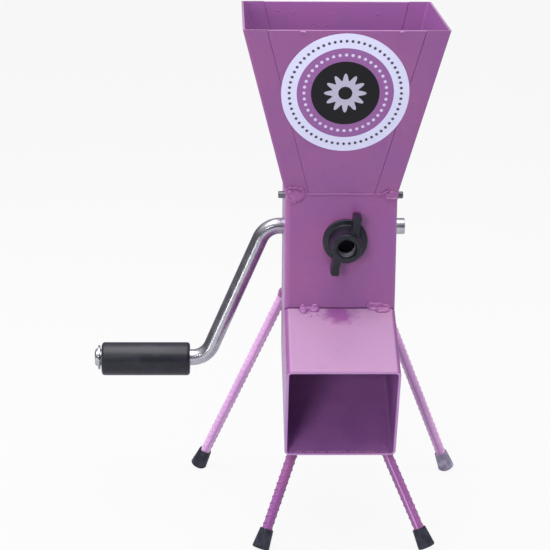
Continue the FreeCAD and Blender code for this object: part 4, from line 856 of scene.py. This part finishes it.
def pad(x, run, wide, high, thick):
    """A flat swelling of weld metal, as (middle, half sizes, tilt)."""
    return skin(x, run), (wide, thick, high), CHUTE_TILT - math.pi / 2 if run < 0 else 0.0


def ridge(points, radius, out=0.9):
    """A raised ridge of weld metal along points on the front."""
    spots = []
    for start, end in zip(points, points[1:]):
        steps = max(1, round((Vector(end) - Vector(start)).length / (radius * 0.6)))
        for k in range(steps + 1):
            x, run = Vector(start).lerp(Vector(end), k / steps)
            spots.append((skin(x, run, out), (radius, radius, radius), 0.0))
    return spots


def lumps(spots, seed, rough=0.3):
    """Run-together weld metal from (middle, half sizes, tilt) blobs, with an uneven skin."""
    bm = bmesh.new()
    for middle, half, tilt in spots:
        ball(bm, middle, half, tilt, 2 if max(half) < 2 else 3)
    bm = melted(bm, 0.25, 3)
    for vert in bm.verts:
        vert.co += Vector(noise.noise_vector(vert.co * 0.45 + Vector((seed, 0, 0)))) * rough
    return bm


def make_corner_welds():
    """Weld metal at the four front corners, the seam under the hopper, spatter, and tacks on the rim."""
    spots = [pad(*values) for values in PADS]
    for points, radius in RIDGES:
        spots += ridge(points, radius)
    noise.seed_set(3)
    for _ in range(SPATTER):
        x, run, size = chance(-29, -5), chance(-4, -11), chance(0.3, 0.65)
        spots.append((skin(x, run, 0.1), (size, size, size), 0.0))
    for x, wide in TACKS:
        spots.append((Vector((x, -RIM_HALF - 0.15, RIM - 1.3)), (wide, 1.1, 0.9), 0.0))
    bm = lumps(spots, 3.0)
    seam = [(x, BODY_TOP + 0.12 * math.sin(x * 0.7)) for x in range(-26, 29, 2)]
    join(bm, lumps(ridge(seam, 0.7, 0.2), 5.0, 0.08))
    move(bm, TO_FRAME)
    piece("corner_weld_lumps", bm, (WELD_VIOLET,), "frame", ["corner_welds"], 60)


def make_leg_welds():
    """A lump round each leg's top; under the chute they end inside its wall."""
    spots = []
    for name, (top, foot, _) in LEGS.items():
        fall = 4.2 if name.startswith("rear") else 0.5
        down_leg = (foot - top).normalized()
        spots.append((top + down_leg * fall + Vector((0, -0.8, 0)), (4.8, 4.2, 4.8), 0.0))
        spots.append((top + down_leg * (fall + 2.5), (4.2, 3.6, 3.6), 0.0))
    bm = lumps(spots, 8.0)
    floor_point = Vector((0, -FRONT_LEGS, FRONT_TOP))
    for vert in bm.verts:
        sunk = (vert.co - floor_point).dot(OUT_OF_ROOF) - TUBE_WALL / 2
        if vert.co.y < -TUBE_HALF and sunk > 0:
            vert.co -= OUT_OF_ROOF * sunk
    piece("leg_weld_lumps", move(bm, TO_FRAME), (VIOLET,), "frame", ["leg_welds"], 60)


# ---------------------------------------------------------------- inner pieces


def make_inner():
    """The pieces inside the body, most of them as the solids have them."""
    dress(OILED, "crack_drum", "drum_pin", "jaw_plate", "jaw_knuckle")
    dress(OILED, "left_thrust_washer", "right_thrust_washer")
    dress(BRONZE, "left_shaft_bush", "right_shaft_bush")
    dress(SHADE_DARK_STUD, "adjusting_stud")
    # One end of the coil stays at the front wall, the other goes with the stud's head behind the jaw.
    spring = piece("coiled_spring", merged_copy("adjusting_spring"), (WIRE,), None,
                   ["adjusting_spring"], 60)
    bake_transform(spring)
    bm = merged_copy("jaw_hinge_pin")
    soften(bm, corner_edges(bm), 0.5, 3)
    piece("hinge_pin", bm, (BRIGHT_PIN,), "frame", ["jaw_hinge_pin"])


# ---------------------------------------------------------------- floor, light and camera

# Square lamps: name, place in metres, side in metres, watts, and whether metal mirrors them.
LAMPS = (
    ("overhead_box", (-0.05, -0.15, 1.35), 1.2, 16.0, True),
    ("low_left_box", (-0.5, -1.55, 0.55), 0.34, 9.2, False),        # looks into the mouth
    ("glint_box", (-0.6, -1.45, 1.0), 0.1, 1.6, True),
    ("floor_box", (-0.51, -0.85, 0.1), 0.13, 0.35, True),           # draws a streak down the crank
    ("right_box", (1.3, -0.1, 0.5), 0.5, 5.0, False),
    ("left_box", (-1.3, 0.1, 0.6), 0.5, 9.0, False),
)
LIT_POINT = Vector((0.04, 0, 0.2))              # what the lamps face, in metres


def make_stage():
    """White paper floor, and a pale ceiling over darker walls, which the camera sees as plain white."""
    bm = bmesh.new()
    bmesh.ops.create_grid(bm, x_segments=1, y_segments=1, size=6)
    mesh = bpy.data.meshes.new("floor")
    bm.to_mesh(mesh)
    bm.free()
    floor = bpy.data.objects.new("floor", mesh)
    bpy.context.collection.objects.link(floor)
    mesh.materials.append(pale_paper("white_paper"))

    world = bpy.data.worlds.new("studio")
    bpy.context.scene.world = world
    world.use_nodes = True
    world.node_tree.nodes.clear()
    place = add(world, "TexCoord")
    parts = add(world, "SeparateXYZ", links={"Vector": place.outputs["Generated"]})
    height = add(world, "ValToRGB", links={"Fac": parts.outputs["Z"]})
    ramp_stops(height, [(0.0, linear("505054")), (0.35, linear("70707A")), (0.75, linear("D8D8E4"))])
    room = add(world, "Background", {"Strength": 1.0}, {"Color": height.outputs["Color"]})
    white = add(world, "Background", {"Color": (1, 1, 1, 1), "Strength": 1.0})
    mixed = add(world, "MixShader",
                links={"Fac": white_share(world, 1.0, 0.05), 1: room.outputs[0], 2: white.outputs[0]})
    add(world, "OutputWorld", links={"Surface": mixed.outputs[0]})


def make_lamps():
    """Square soft boxes that face the part."""
    for name, place, side, power, mirrored in LAMPS:
        lamp = bpy.data.lights.new(name, "AREA")
        lamp.size = side
        lamp.energy = power
        obj = bpy.data.objects.new(name, lamp)
        obj.visible_glossy = mirrored
        obj.matrix_world = aimed(Vector(place), LIT_POINT, "-Z")
        bpy.context.collection.objects.link(obj)


CAMERA_PLACE = Vector((-80.651, -1385.795, 407.976))
CAMERA_TURN = (1.434, 15.905, 0.472)            # to the right, downwards and about the view, in degrees
CAMERA_REACH = 1950.497 / 550                   # focal length over the width of the view


def make_camera():
    """Pinhole camera ahead of the part, a little to the left and looking down."""
    yaw, pitch, roll = (math.radians(angle) for angle in CAMERA_TURN)
    ahead = Vector((math.sin(yaw) * math.cos(pitch), math.cos(yaw) * math.cos(pitch), -math.sin(pitch)))
    level = Vector((math.cos(yaw), -math.sin(yaw), 0))
    above = level.cross(ahead)
    right = level * math.cos(roll) + above * math.sin(roll)
    up = above * math.cos(roll) - level * math.sin(roll)
    data = bpy.data.cameras.new("camera")
    data.lens = CAMERA_REACH * data.sensor_width
    data.clip_end = 50
    obj = bpy.data.objects.new("camera", data)
    turn = Matrix((right, up, -ahead)).transposed().to_4x4()
    obj.matrix_world = Matrix.Translation(TO_FRAME @ CAMERA_PLACE) @ turn
    bpy.context.collection.objects.link(obj)
    bpy.context.scene.camera = obj


make_camera()
make_tubes()
make_hopper()
make_label()
make_crank()
make_grip()
make_nut()
for leg, places in LEGS.items():
    make_leg(leg, *places)
make_corner_welds()
make_leg_welds()
make_inner()
make_stage()
make_lamps()
bpy.context.scene.view_settings.view_transform = "Standard"
